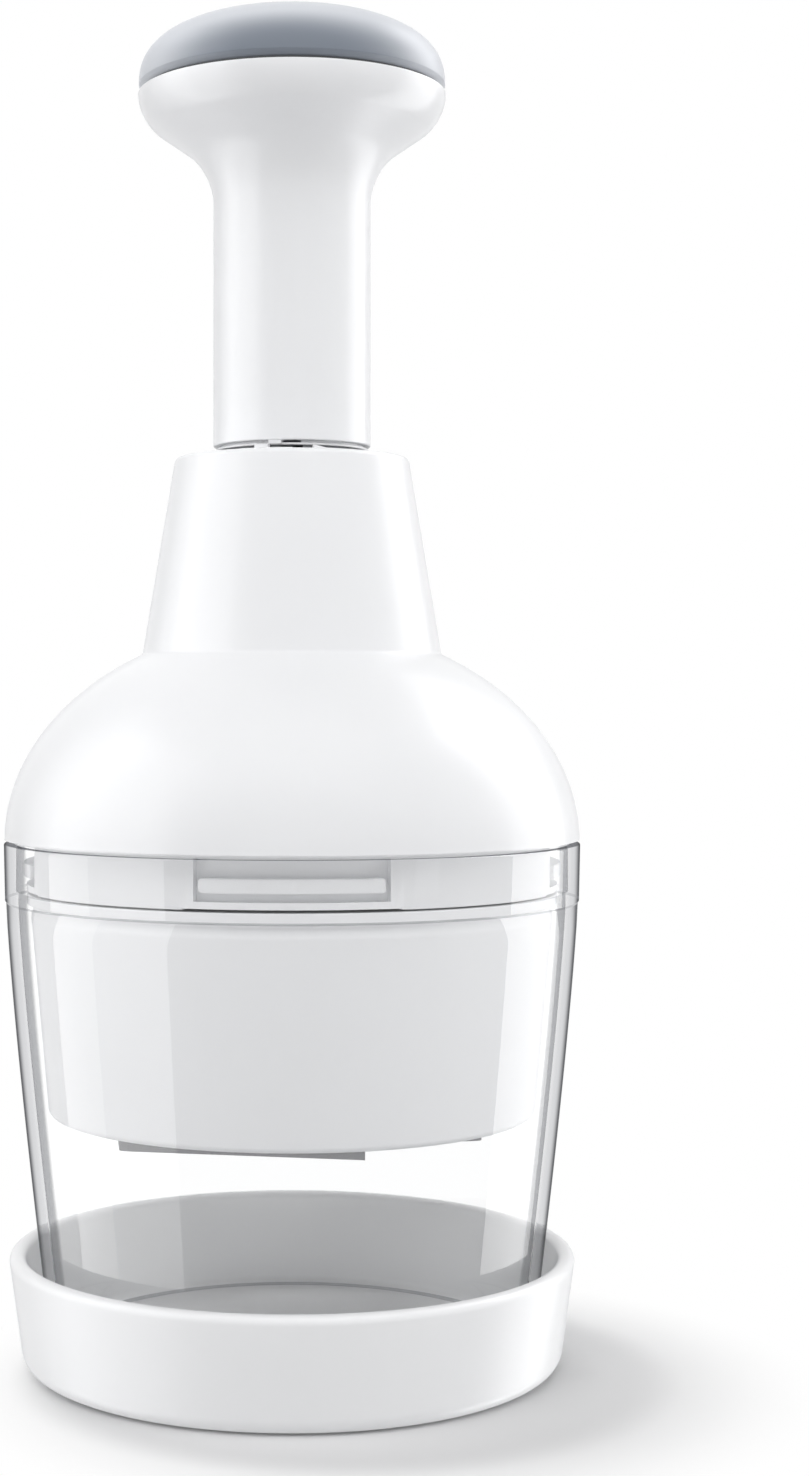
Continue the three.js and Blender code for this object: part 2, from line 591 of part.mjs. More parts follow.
/** Inner frame: floor, skirt with lugs, guard collar with bayonet tabs, and screw bosses. */
function makeFrame() {
  const sealHole = SPINDLE_RADIUS + RUNNING_GAP + SEAL_WALL + SEAT_GAP;
  const flangeRadius = DOME_RADIUS - DOME_WALL - SEAT_GAP;
  const corners = [
    corner(sealHole, FRAME_UNDERSIDE),
    corner(SKIRT_RADIUS - SKIRT_WALL, FRAME_UNDERSIDE),
    corner(SKIRT_RADIUS - SKIRT_WALL, SKIRT_BOTTOM),
    corner(SKIRT_RADIUS, SKIRT_BOTTOM),
    corner(SKIRT_RADIUS, HOUSING_BASE + SEAT_GAP),
    corner(flangeRadius, HOUSING_BASE + SEAT_GAP),
    corner(flangeRadius, FRAME_TOP),
    corner(sealHole, FRAME_TOP),
  ];
  const plate = revolveCorners(corners, LARGE_FACETS);
  const collarBottom = DECK_UNDERSIDE - SEAT_GAP - BAYONET_THICKNESS;
  const collarTop = FRAME_UNDERSIDE + FRAME_FLOOR / 2;
  const collar = ring(COLLAR_RADIUS - COLLAR_WALL, COLLAR_RADIUS, collarBottom, collarTop, LARGE_FACETS);
  const bossTop = FRAME_UNDERSIDE + FRAME_FLOOR / 2;
  const boss = upright(BOSS_RADIUS, FRAME_UNDERSIDE - TOWER_BOSS_HEIGHT, bossTop);
  const bosses = turnedCopies(boss.translate([TOWER_SCREW_CIRCLE, 0, 0]), SCREW_COUNT, TOWER_SCREW_TURN);
  const { pockets, bars } = makeLugs();
  const solid = joined([cutBy(plate, pockets), ...bars, collar, ...makeBayonetTabs(), ...bosses]);
  const holeBottom = FRAME_UNDERSIDE - TOWER_BOSS_HEIGHT - OVERRUN;
  const hole = upright(SCREW_HOLE_RADIUS, holeBottom, FRAME_TOP + OVERRUN);
  const frameHole = hole.translate([FRAME_SCREW_CIRCLE, 0, 0]);
  const towerHole = hole.translate([TOWER_SCREW_CIRCLE, 0, 0]);
  const frameHoles = turnedCopies(frameHole, SCREW_COUNT, FRAME_SCREW_TURN);
  const towerHoles = turnedCopies(towerHole, SCREW_COUNT, TOWER_SCREW_TURN);
  return cutBy(solid, [...frameHoles, ...towerHoles]);
}

/** Blade guard: a tapered shell with a deck whose notches pass the bayonet tabs. */
function makeGuard() {
  const holeRadius = COLLAR_RADIUS + RUNNING_GAP;
  const collarBottom = GUARD_TOP - GUARD_COLLAR_HEIGHT;
  const corners = [
    corner(GUARD_BOTTOM_RADIUS, GUARD_BOTTOM, GUARD_EDGE_ROUND),
    corner(GUARD_TOP_RADIUS, collarBottom),
    corner(SKIRT_RADIUS, collarBottom),
    corner(SKIRT_RADIUS, GUARD_TOP),
    corner(holeRadius, GUARD_TOP),
    corner(holeRadius, DECK_UNDERSIDE),
    corner(GUARD_TOP_RADIUS - GUARD_WALL, DECK_UNDERSIDE, GUARD_INNER_ROUND),
    corner(GUARD_BOTTOM_RADIUS - GUARD_WALL, GUARD_BOTTOM, GUARD_INNER_ROUND / 2),
  ];
  const shell = revolveCorners(corners, LARGE_FACETS);
  const notchSweep = BAYONET_SWEEP + 2 * BAYONET_SIDE_GAP;
  const notchOuter = COLLAR_RADIUS + BAYONET_REACH + RUNNING_GAP;
  const notchInner = COLLAR_RADIUS - COLLAR_WALL;
  const notchBottom = DECK_UNDERSIDE - OVERRUN;
  const notch = sector(notchInner, notchOuter, notchSweep, 0, notchBottom, GUARD_TOP + OVERRUN);
  const notches = turnedCopies(notch, BAYONET_COUNT, -BAYONET_TWIST);
  const stopAngle = BAYONET_SWEEP / 2 + BAYONET_SIDE_GAP + BAYONET_STOP_SWEEP / 2;
  const stopBottom = DECK_UNDERSIDE - BAYONET_STOP_HEIGHT;
  const stopTop = DECK_UNDERSIDE + GUARD_DECK / 2;
  const stop = sector(holeRadius, notchOuter, BAYONET_STOP_SWEEP, stopAngle, stopBottom, stopTop);
  return joined([cutBy(shell, notches), ...turnedCopies(stop, BAYONET_COUNT)]);
}

/** Guide tower: flange, keyed tube and the ledge under the spring. */
function makeTower() {
  const ledgeBottom = SPRING_LEDGE_Z - SPRING_LEDGE_HEIGHT;
  const corners = [
    corner(TOWER_INNER_RADIUS, TOWER_BASE),
    corner(TOWER_FLANGE_RADIUS, TOWER_BASE),
    corner(TOWER_FLANGE_RADIUS, TOWER_BASE + TOWER_FLANGE),
    corner(TOWER_RADIUS, TOWER_BASE + TOWER_FLANGE),
    corner(TOWER_RADIUS, TOWER_TOP),
    corner(TOWER_INNER_RADIUS, TOWER_TOP),
    corner(TOWER_INNER_RADIUS, SPRING_LEDGE_Z),
    corner(SPRING_LEDGE_RADIUS, SPRING_LEDGE_Z),
    corner(SPRING_LEDGE_RADIUS, ledgeBottom),
    corner(TOWER_INNER_RADIUS, ledgeBottom),
  ];
  const tube = revolveCorners(corners, TOWER_FACETS);
  const slotBottom = BARREL_BOTTOM - STROKE - RUNNING_GAP;
  const slotWidth = KEY_WIDTH + 2 * RUNNING_GAP;
  const slotDepth = TOWER_WALL + 2 * RUNNING_GAP;
  const slotHeight = TOWER_TOP + OVERRUN - slotBottom;
  const slotY = (TOWER_RADIUS + TOWER_INNER_RADIUS) / -2;
  const slot = block(slotWidth, slotDepth, slotHeight, 0, slotY, slotBottom + slotHeight / 2);
  const pinHoleRadius = INDEX_PIN_RADIUS + SEAT_GAP;
  const pinHoleEnd = TOWER_RADIUS + OVERRUN;
  const pinHole = radialPin(pinHoleRadius, SPRING_LEDGE_RADIUS, pinHoleEnd, INDEX_PIN_Z, SMALL_FACETS / 2);
  const screwHole = upright(SCREW_HOLE_RADIUS, TOWER_BASE - OVERRUN, TOWER_BASE + TOWER_FLANGE + OVERRUN);
  const placedHole = screwHole.translate([TOWER_SCREW_CIRCLE, 0, 0]);
  const screwHoles = turnedCopies(placedHole, SCREW_COUNT, TOWER_SCREW_TURN);
  const slots = turnedCopies(slot, KEY_COUNT);
  return cutBy(tube, [...slots, ...turnedCopies(pinHole, INDEX_PIN_COUNT), ...screwHoles]);
}

/** Pan-head screw with its head above a seat, pointing down from z = 0. */
function makeScrew(length) {
  const round = SCREW_HEAD_HEIGHT / 2;
  const corners = [
    corner(0, -length),
    corner(SCREW_RADIUS - SCREW_HOLE_GAP, -length),
    corner(SCREW_RADIUS, SCREW_HOLE_GAP - length),
    corner(SCREW_RADIUS, SEAT_GAP),
    corner(SCREW_HEAD_RADIUS, SEAT_GAP),
    corner(SCREW_HEAD_RADIUS, SCREW_HEAD_HEIGHT, round),
    corner(0, SCREW_HEAD_HEIGHT),
  ];
  const blank = revolveCorners(corners, SMALL_FACETS);
  const drive = upright(SCREW_DRIVE_RADIUS, SCREW_HEAD_HEIGHT - SCREW_DRIVE_DEPTH, OVERRUN, NUT_SIDES);
  return blank.subtract(drive);
}

/** Screws on a circle, each its own mesh. */
function placeScrews(name, length, circle, firstAngle, z, headDown) {
  return Array.from({ length: SCREW_COUNT }, (_, i) => {
    const mesh = part(`${name}_${i + 1}`, makeScrew(length), STEEL);
    const angle = firstAngle + (2 * Math.PI * i) / SCREW_COUNT;
    mesh.position.set(circle * Math.cos(angle), circle * Math.sin(angle), z);
    mesh.rotation.x = headDown ? Math.PI : 0;
    return mesh;
  });
}

/** Pin that stands in the tower's wall and reaches into the drum's track. */
function makeIndexPins() {
  const tip = DRUM_RADIUS - TRACK_DEPTH + SEAT_GAP;
  return Array.from({ length: INDEX_PIN_COUNT }, (_, i) => {
    const pin = radialPin(INDEX_PIN_RADIUS, tip, TOWER_RADIUS - SEAT_GAP, INDEX_PIN_Z);
    const mesh = part(`index_pin_${i + 1}`, pin, STEEL);
    mesh.rotation.z = (2 * Math.PI * i) / INDEX_PIN_COUNT;
    return mesh;
  });
}

/** Handle: barrel, flare and hollow knob in one, with the two keys inside the barrel. */
function makeHandle() {
  const holeRadius = SPINDLE_RADIUS + RUNNING_GAP + BUSH_WALL + SEAT_GAP;
  const corners = [
    corner(BARREL_RADIUS, BARREL_BOTTOM, BARREL_EDGE_ROUND),
    corner(BARREL_RADIUS, FLARE_Z, FLARE_ROUND),
    corner(KNOB_RADIUS, KNOB_SHOULDER_Z, KNOB_SHOULDER_ROUND),
    corner(KNOB_RADIUS, KNOB_TOP),
    corner(KNOB_RADIUS - KNOB_WALL, KNOB_TOP),
    corner(KNOB_RADIUS - KNOB_WALL, KNOB_SHOULDER_Z, CAVITY_SHOULDER_ROUND),
    corner(BARREL_INNER_RADIUS, CAVITY_FLARE_Z, CAVITY_FLARE_ROUND),
    corner(BARREL_INNER_RADIUS, CEILING_Z + CEILING),
    corner(holeRadius, CEILING_Z + CEILING),
    corner(holeRadius, CEILING_Z),
    corner(BARREL_INNER_RADIUS, CEILING_Z),
    corner(BARREL_INNER_RADIUS, BARREL_BOTTOM),
  ];
  const body = revolveCorners(corners, HANDLE_FACETS);
  const keyDepth = KEY_REACH + BARREL_WALL / 2;
  const keyY = -BARREL_INNER_RADIUS + KEY_REACH - keyDepth / 2;
  const keyZ = BARREL_BOTTOM + BARREL_EDGE_ROUND + KEY_HEIGHT / 2;
  const key = block(KEY_WIDTH, keyDepth, KEY_HEIGHT, 0, keyY, keyZ);
  return joined([body, ...turnedCopies(key, KEY_COUNT)]);
}

/** Points of the pad's rounded outline, from its edge to the axis. */
function padArc(radius, height, base) {
  return Array.from({ length: PAD_STEPS + 1 }, (_, i) => {
    const angle = (Math.PI / 2) * (i / PAD_STEPS);
    const power = 2 / PAD_ROUNDNESS_EXPONENT;
    const r = radius * Math.cos(angle) ** power;
    return corner(i === PAD_STEPS ? 0 : r, base + height * Math.sin(angle) ** power);
  });
}

/** Soft grip pad over the knob, hollow underneath, with a narrow bevel at its edge. */
function makePad() {
  const base = KNOB_TOP + SEAT_GAP;
  const bevelTop = base + PAD_BEVEL_HEIGHT;
  const outside = padArc(PAD_RADIUS, PAD_HEIGHT - PAD_BEVEL_HEIGHT, bevelTop);
  const inside = padArc(PAD_RADIUS - PAD_THICKNESS, PAD_HEIGHT - PAD_THICKNESS, base);
  const corners = [corner(PAD_RADIUS - PAD_BEVEL_WIDTH, base), ...outside, ...inside.reverse()];
  return revolveCorners(corners, HANDLE_FACETS);
}

/** Plug that closes the knob and carries the pad. */
function makePlug() {
  const plugRadius = KNOB_RADIUS - KNOB_WALL - SEAT_GAP;
  const bottom = KNOB_TOP - PLUG_DEPTH;
  const top = bottom + PLUG_HEIGHT;
  const spigot = PAD_RADIUS - PAD_THICKNESS - 2 * SEAT_GAP;
  const corners = [
    corner(0, bottom),
    corner(plugRadius, bottom),
    corner(plugRadius, KNOB_TOP),
    corner(spigot, KNOB_TOP),
    corner(spigot, top),
    corner(spigot - PLUG_WALL, top),
    corner(spigot - PLUG_WALL, bottom + PLUG_WALL),
    corner(0, bottom + PLUG_WALL),
  ];
  return revolveCorners(corners, HANDLE_FACETS);
}

/** Rubber ring that softens the end of the stroke. */
function makeCushion() {
  const outer = BARREL_INNER_RADIUS - SEAT_GAP;
  const top = CEILING_Z - SEAT_GAP;
  return ring(outer - CUSHION_WIDTH, outer, top - CUSHION_THICKNESS, top, HANDLE_FACETS);
}

/** Flanged bush in the handle's ceiling, in which the spindle turns. */
function makeBush() {
  const bore = SPINDLE_RADIUS + RUNNING_GAP;
  const outer = bore + BUSH_WALL;
  const flangeBottom = BUSH_TOP - BUSH_FLANGE;
  const corners = [
    corner(bore, CEILING_Z),
    corner(outer, CEILING_Z),
    corner(outer, flangeBottom),
    corner(outer + BUSH_FLANGE_WIDTH, flangeBottom),
    corner(outer + BUSH_FLANGE_WIDTH, BUSH_TOP),
    corner(bore, BUSH_TOP),
  ];
  return revolveCorners(corners, SMALL_FACETS);
}

/** Hole for a cross pin through a piece on the axis. */
function crossHole(reach, z) {
  return radialPin(CROSS_PIN_RADIUS + SEAT_GAP, -reach, reach, z, SMALL_FACETS / 2);
}

/** Steel spindle with the holes of its two cross pins. */
function makeSpindle() {
  const rod = upright(SPINDLE_RADIUS, SPINDLE_BOTTOM, SPINDLE_TOP);
  return cutBy(rod, [crossHole(OVERRUN, DRUM_PIN_Z), crossHole(OVERRUN, CARRIER_PIN_Z)]);
}

/** One leg of the track: a bar wrapped round the drum as it climbs. */
function makeTrackLeg(index) {
  const legSweep = (2 * Math.PI) / TRACK_LEGS;
  const falling = index % 2 === 0 ? -1 : 1;
  const depth = TRACK_DEPTH + OVERRUN;
  const length = STROKE + TRACK_WIDTH;
  const bar = new THREE.BoxGeometry(TRACK_WIDTH, depth, length, 1, 1, TRACK_STEPS);
  const places = bar.attributes.position;
  const startAngle = falling < 0 ? -index * legSweep : -(index + 1) * legSweep;
  for (let i = 0; i < places.count; i += 1) {
    const climb = places.getZ(i);
    const radius = DRUM_RADIUS - TRACK_DEPTH + depth / 2 - places.getY(i);
    const share = climb / STROKE + 1 / 2;
    const angle = startAngle + falling * legSweep * share + places.getX(i) / DRUM_RADIUS;
    const height = INDEX_PIN_Z + STROKE / 2 + climb;
    places.setXYZ(i, radius * Math.cos(angle), radius * Math.sin(angle), height);
  }
  return solidOf(bar);
}

/** Index drum with a closed zigzag track: each stroke down or up turns it by one leg. */
function makeDrum() {
  const blank = ring(SPINDLE_HOLE_RADIUS, DRUM_RADIUS, DRUM_BOTTOM, DRUM_TOP, TOWER_FACETS);
  const legs = Array.from({ length: TRACK_LEGS }, (_, i) => makeTrackLeg(i));
  return cutBy(blank, [...legs, crossHole(DRUM_RADIUS + OVERRUN, DRUM_PIN_Z)]);
}

/** Points along the middle of the return spring, with level end turns. */
function springPath() {
  const steps = SPRING_TURNS * SPRING_CURL_STEPS;
  const bottom = SPRING_FOOT + SPRING_WIRE / 2;
  const climb = SPRING_HEAD - SPRING_FOOT - SPRING_WIRE;
  const points = Array.from({ length: steps + 1 }, (_, i) => {
    const angle = (2 * Math.PI * i) / SPRING_CURL_STEPS;
    const x = SPRING_MEAN_RADIUS * Math.cos(angle);
    const y = SPRING_MEAN_RADIUS * Math.sin(angle);
    return new THREE.Vector3(x, y, bottom + (climb * i) / steps);
  });
  return points;
}

/** Return spring: one unbroken tube round the spring path. */
function makeSpring() {
  const path = springPath();
  const positions = [];
  const index = [];
  const up = new THREE.Vector3(0, 0, 1);
  path.forEach((point, i) => {
    const before = path[Math.max(i - 1, 0)];
    const after = path[Math.min(i + 1, path.length - 1)];
    const along = after.clone().sub(before).normalize();
    const out = new THREE.Vector3(point.x, point.y, 0).normalize();
    const side = up.clone().addScaledVector(along, -up.dot(along)).normalize();
    for (let k = 0; k < SPRING_WIRE_SIDES; k += 1) {
      const angle = (2 * Math.PI * k) / SPRING_WIRE_SIDES;
      const spot = point.clone();
      spot.addScaledVector(out, (SPRING_WIRE / 2) * Math.cos(angle));
      spot.addScaledVector(side, (SPRING_WIRE / 2) * Math.sin(angle));
      positions.push(spot.x, spot.y, spot.z);
    }
  });
  for (let i = 0; i + 1 < path.length; i += 1) {
    for (let k = 0; k < SPRING_WIRE_SIDES; k += 1) {
      const next = (k + 1) % SPRING_WIRE_SIDES;
      const a = i * SPRING_WIRE_SIDES + k;
      const b = i * SPRING_WIRE_SIDES + next;
      index.push(a, a + SPRING_WIRE_SIDES, b, b, a + SPRING_WIRE_SIDES, b + SPRING_WIRE_SIDES);
    }
  }
  const last = (path.length - 1) * SPRING_WIRE_SIDES;
  for (let k = 1; k + 1 < SPRING_WIRE_SIDES; k += 1) {
    index.push(0, k, k + 1);
    index.push(last, last + k + 1, last + k);
  }
  const geometry = new THREE.BufferGeometry();
  geometry.setAttribute('position', new THREE.Float32BufferAttribute(positions, 3));
  geometry.setIndex(index);
  return solidOf(geometry);
}

/** Least gap between one turn of the spring and the rest, measured on points of its path. */
function springGap() {
  const path = springPath();
  const apart = SPRING_CURL_STEPS / 2;
  let least = Infinity;
  path.forEach((point, i) => {
    path.slice(i + apart).forEach((other) => {
      least = Math.min(least, point.distanceTo(other) - SPRING_WIRE);
    });
  });
  return least;
}

/** Middle line of the folded blade, point-symmetric about the axis, with its folds rounded. */
function foldLine() {
  const line = foldCorners();
  return line.flatMap((at, i) => {
    if (i === 0 || i === line.length - 1) return [at];
    const here = { at, round: BLADE_BEND_RADIUS };
    return cornerPoints({ at: line[i - 1] }, here, { at: line[i + 1] });
  });
}

/** Outline of a strip of even thickness along the fold line, lengthened at both ends. */
function stripShape(thickness, extra) {
  const line = foldLine();
  const last = line.length - 1;
  const startWay = line[0].clone().sub(line[1]).normalize();
  const endWay = line[last].clone().sub(line[last - 1]).normalize();
  line[0].addScaledVector(startWay, extra);
  line[last].addScaledVector(endWay, extra);
  const sides = [1, -1].map((side) => line.map((point, i) => {
    const into = point.clone().sub(line[Math.max(i - 1, 0)]).normalize();
    const on = line[Math.min(i + 1, last)].clone().sub(point).normalize();
    const along = into.clone().add(on).normalize();
    const normal = new THREE.Vector2(-along.y, along.x);
    const spread = Math.max(along.dot(into), along.dot(on));
    return point.clone().addScaledVector(normal, (side * thickness) / 2 / spread);
  }));
  return new THREE.Shape([...sides[0], ...sides[1].reverse()]);
}

/** Strip along the fold line between two heights. */
function strip(thickness, extra, bottom, top) {
  const options = { depth: top - bottom, bevelEnabled: false };
  const extruded = new THREE.ExtrudeGeometry(stripShape(thickness, extra), options);
  extruded.translate(0, 0, bottom);
  return solidOf(extruded);
}

/** Sharp corners of the blade's folds, from one free end to the other. */
function foldCorners() {
  const half = FOLD_SHARES.map(([x, y]) => new THREE.Vector2(x, y).multiplyScalar(BLADE_RADIUS));
  return [...half, ...half.map((point) => point.clone().negate()).reverse()];
}

/** Straight rails over the legs of the blade, up to the edge of the plate. */
function makeRails() {
  const corners = foldCorners();
  const bars = corners.slice(1).map((to, i) => {
    const from = corners[i];
    const way = to.clone().sub(from);
    const bar = new THREE.BoxGeometry(way.length() + RAIL_THICKNESS, RAIL_THICKNESS, RAIL_HEIGHT);
    bar.rotateZ(way.angle());
    bar.translate((from.x + to.x) / 2, (from.y + to.y) / 2, RAIL_BOTTOM + RAIL_HEIGHT / 2);
    return solidOf(bar);
  });
  const limit = upright(PLATE_RADIUS, RAIL_BOTTOM, RAIL_TOP - PLATE_THICKNESS / 2, LARGE_FACETS);
  return joined(bars).intersect(limit);
}

/** Places of the rivets along the two long outer legs and the middle leg. */
function bladePinPlaces() {
  const [, fold, inner] = foldCorners();
  const way = inner.clone().sub(fold);
  const along = Math.atan2(way.y, way.x);
  return BLADE_PIN_SHARES.flatMap((share) => {
    const at = fold.clone().addScaledVector(way, share);
    return [{ at, along }, { at: at.clone().negate(), along }];
  });
}

/** Cross pin through rail and blade, or the wider hole for it. */
function bladePin(radius, length, place) {
  const cylinder = new THREE.CylinderGeometry(radius, radius, length, SMALL_FACETS / 2);
  cylinder.rotateZ(place.along);
  cylinder.translate(place.at.x, place.at.y, RAIL_BOTTOM + GROOVE_DEPTH / 2);
  return solidOf(cylinder);
}

/** Holes for the blade pins, through rail and blade. */
function bladePinHoles() {
  const radius = BLADE_PIN_RADIUS + BLADE_PIN_HOLE_GAP;
  return bladePinPlaces().map((place) => bladePin(radius, RAIL_THICKNESS + OVERRUN, place));
}

/** Folded blade: one strip of steel with a ground lower edge. */
function makeBlade() {
  const shape = stripShape(BLADE_THICKNESS, 0);
  const inset = (BLADE_THICKNESS - BLADE_EDGE_THICKNESS) / 2;
  const options = {
    depth: BLADE_HEIGHT - 2 * BLADE_BEVEL,
    bevelEnabled: true,
    bevelThickness: BLADE_BEVEL,
    bevelSize: inset,
    bevelOffset: -inset,
    bevelSegments: 1,
  };
  const extruded = new THREE.ExtrudeGeometry(shape, options);
  extruded.translate(0, 0, BLADE_EDGE_Z + BLADE_BEVEL);
  return cutBy(solidOf(extruded), bladePinHoles());
}

/** Blade carrier: a round plate with a hub on top and a grooved rail under it. */
function makeCarrier() {
  const plateBottom = RAIL_TOP - PLATE_THICKNESS;
  const corners = [
    corner(0, plateBottom),
    corner(PLATE_RADIUS, plateBottom),
    corner(PLATE_RADIUS, RAIL_TOP, PLATE_EDGE_ROUND),
    corner(HUB_RADIUS, RAIL_TOP, HUB_ROUND),
    corner(HUB_RADIUS, HUB_TOP, HUB_ROUND),
    corner(0, HUB_TOP),
  ];
  const plate = revolveCorners(corners, LARGE_FACETS);
  const groove = strip(
    BLADE_THICKNESS + 2 * GROOVE_GAP,
    RAIL_THICKNESS,
    RAIL_BOTTOM - OVERRUN,
    RAIL_BOTTOM + GROOVE_DEPTH,
  );
  const bore = upright(SPINDLE_HOLE_RADIUS, RAIL_TOP, HUB_TOP + OVERRUN);
  const pinHole = crossHole(HUB_RADIUS + OVERRUN, CARRIER_PIN_Z);
  return cutBy(plate.add(makeRails()), [groove, bore, pinHole, ...bladePinHoles()]);
}

/** Rivets that hold the blade in its rail, each its own mesh. */
function makeBladePins() {
  const length = RAIL_THICKNESS - 2 * CROSS_PIN_STAND_IN;
  return bladePinPlaces().map((place, i) => {
    const pin = bladePin(BLADE_PIN_RADIUS, length, place);
    return part(`blade_pin_${i + 1}`, pin, STEEL);
  });
}

/** Hexagon nut on the spindle's top. */
function makeNut() {
  const hexagon = upright(NUT_ACROSS_CORNERS / 2, NUT_Z, NUT_Z + NUT_HEIGHT, NUT_SIDES);
  return hexagon.subtract(upright(SPINDLE_HOLE_RADIUS, NUT_Z - OVERRUN, NUT_Z + NUT_HEIGHT + OVERRUN));
}

/** Rubber seal that wipes the spindle where it leaves the frame. */
function makeSeal() {
  const bore = SPINDLE_RADIUS + RUNNING_GAP;
  const outer = bore + SEAL_WALL;
  const flangeTop = FRAME_UNDERSIDE - SEAT_GAP;
  const corners = [
    corner(bore, flangeTop - SEAL_FLANGE),
    corner(outer + SEAL_FLANGE_WIDTH, flangeTop - SEAL_FLANGE),
    corner(outer + SEAL_FLANGE_WIDTH, flangeTop),
    corner(outer, flangeTop),
    corner(outer, FRAME_TOP),
    corner(bore, FRAME_TOP),
  ];
  return revolveCorners(corners, SMALL_FACETS);
}

const chopper = new THREE.Group();

const least = springGap();
console.log(`return spring: least gap between turns ${least.toFixed(2)} mm`);
if (least < LEAST_TURN_GAP) throw new Error('The spring turns are too close together');

// Base and cup
chopper.add(part('base_dish', makeDish(), WHITE));
chopper.add(part('clear_cup', makeCup(), CLEAR));

// Housing side
const ledgeTop = SPRING_LEDGE_Z + SEAT_GAP;
const seatOuter = TOWER_INNER_RADIUS - SEAT_GAP;
const seatInner = DRUM_RADIUS + RUNNING_GAP;
const springSeat = ring(seatInner, seatOuter, ledgeTop, ledgeTop + SPRING_SEAT_THICKNESS, TOWER_FACETS);
chopper.add(part('domed_housing', makeHousing(), WHITE));
chopper.add(part('inner_frame', makeFrame(), WHITE));
chopper.add(part('guide_tower', makeTower(), WARM_GREY));
chopper.add(part('spring_seat', springSeat, STEEL));
chopper.add(part('return_spring', makeSpring(), STEEL));
chopper.add(part('spindle_seal', makeSeal(), RUBBER));
chopper.add(...makeIndexPins());
chopper.add(...placeScrews(
  'frame_screw', FRAME_SCREW_LENGTH, FRAME_SCREW_CIRCLE, FRAME_SCREW_TURN, FRAME_UNDERSIDE, true,
));
chopper.add(...placeScrews(
  'tower_screw', TOWER_SCREW_LENGTH, TOWER_SCREW_CIRCLE, TOWER_SCREW_TURN, TOWER_BASE + TOWER_FLANGE, false,
));

// Guard
chopper.add(part('blade_guard', makeGuard(), WHITE));

// Handle
chopper.add(part('handle', makeHandle(), WHITE));
chopper.add(part('knob_plug', makePlug(), WHITE));
chopper.add(part('grip_pad', makePad(), PAD_GREY));
chopper.add(part('spindle_bush', makeBush(), WARM_GREY));
chopper.add(part('cushion_ring', makeCushion(), RUBBER));

// Blade side, which turns with the spindle
const washerTop = WASHER_Z + WASHER_THICKNESS;
const washer = ring(SPINDLE_HOLE_RADIUS, WASHER_RADIUS, WASHER_Z, washerTop, SMALL_FACETS);
const drumPinReach = DRUM_RADIUS - CROSS_PIN_STAND_IN;
const carrierPinReach = HUB_RADIUS - CROSS_PIN_STAND_IN;
const drumPin = radialPin(CROSS_PIN_RADIUS, -drumPinReach, drumPinReach, DRUM_PIN_Z);
const carrierPin = radialPin(CROSS_PIN_RADIUS, -carrierPinReach, carrierPinReach, CARRIER_PIN_Z);
chopper.add(part('spindle', makeSpindle(), STEEL));
chopper.add(part('index_drum', makeDrum(), WARM_GREY));
chopper.add(part('drum_pin', drumPin, STEEL));
chopper.add(part('thrust_washer', washer, STEEL));
chopper.add(part('spindle_nut', makeNut(), STEEL));
chopper.add(part('blade_carrier', makeCarrier(), WHITE));
chopper.add(part('carrier_pin', carrierPin, STEEL));
chopper.add(part('chopping_blade', makeBlade(), STEEL));
chopper.add(...makeBladePins());

export default chopper;
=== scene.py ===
"""Push-down food chopper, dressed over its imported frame.

Sizes are in millimetres, +Z up from the middle of the dish's underside. They become metres when a
solid is finished as a piece.
"""

from __future__ import annotations

import logging
import math
from collections.abc import Iterable, Iterator, Sequence
from dataclasses import dataclass
from enum import Enum

import bmesh
import bpy
from mathutils import Matrix, Vector


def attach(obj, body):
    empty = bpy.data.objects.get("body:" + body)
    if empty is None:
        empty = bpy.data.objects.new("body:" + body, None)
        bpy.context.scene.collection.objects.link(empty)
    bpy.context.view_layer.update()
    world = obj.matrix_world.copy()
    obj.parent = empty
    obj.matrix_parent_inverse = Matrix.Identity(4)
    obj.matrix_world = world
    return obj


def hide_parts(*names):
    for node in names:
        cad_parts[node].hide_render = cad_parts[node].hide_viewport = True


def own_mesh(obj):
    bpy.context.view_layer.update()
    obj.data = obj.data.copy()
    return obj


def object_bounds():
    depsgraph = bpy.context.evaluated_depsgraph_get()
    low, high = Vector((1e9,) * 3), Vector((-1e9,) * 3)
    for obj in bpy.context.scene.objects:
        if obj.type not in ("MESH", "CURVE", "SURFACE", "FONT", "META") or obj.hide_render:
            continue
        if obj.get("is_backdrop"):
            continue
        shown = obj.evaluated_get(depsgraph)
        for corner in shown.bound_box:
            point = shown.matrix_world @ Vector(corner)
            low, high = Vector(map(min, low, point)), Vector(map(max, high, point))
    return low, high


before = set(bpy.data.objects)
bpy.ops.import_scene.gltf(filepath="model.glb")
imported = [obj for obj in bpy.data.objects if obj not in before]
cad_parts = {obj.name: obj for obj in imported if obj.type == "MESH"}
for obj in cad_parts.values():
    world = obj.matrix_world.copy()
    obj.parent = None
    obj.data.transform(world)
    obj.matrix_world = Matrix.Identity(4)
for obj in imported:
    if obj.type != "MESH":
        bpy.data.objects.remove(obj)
FRAME_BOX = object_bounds()

LOG = logging.getLogger("chopper")
MM = 0.001
ORIGIN = (0.0, 0.0, 0.0)
UP = (0.0, 0.0, 1.0)
SHARP_ANGLE = math.radians(32)
ROUND_STEPS = 160
SMALL_STEPS = 48
SEAT_GAP = 0.3
OVERRUN = 6.0
STROKE = 37.6
HOUSING_BASE = 90.2
FRAME_TOP = 92.1
NECK_TOP = 156.6
BARREL_BOTTOM = 158.5
CEILING_Z = 201.0
SCREW_HOLE_RADIUS = 1.6
INNER_MARK = "inner_wall"
# Marks the faces on which the clear finish paints a dark line of shade along the step.
STEP_SHADE_MARK = "painted_step_shade"


class Body(Enum):
    """Bodies of the frame that pieces ride on."""

    BASE = "base"
    CUP = "cup"
    HOUSING = "housing"
    GUARD = "guard"
    PLUNGER = "plunger"
    BLADE = "blade"


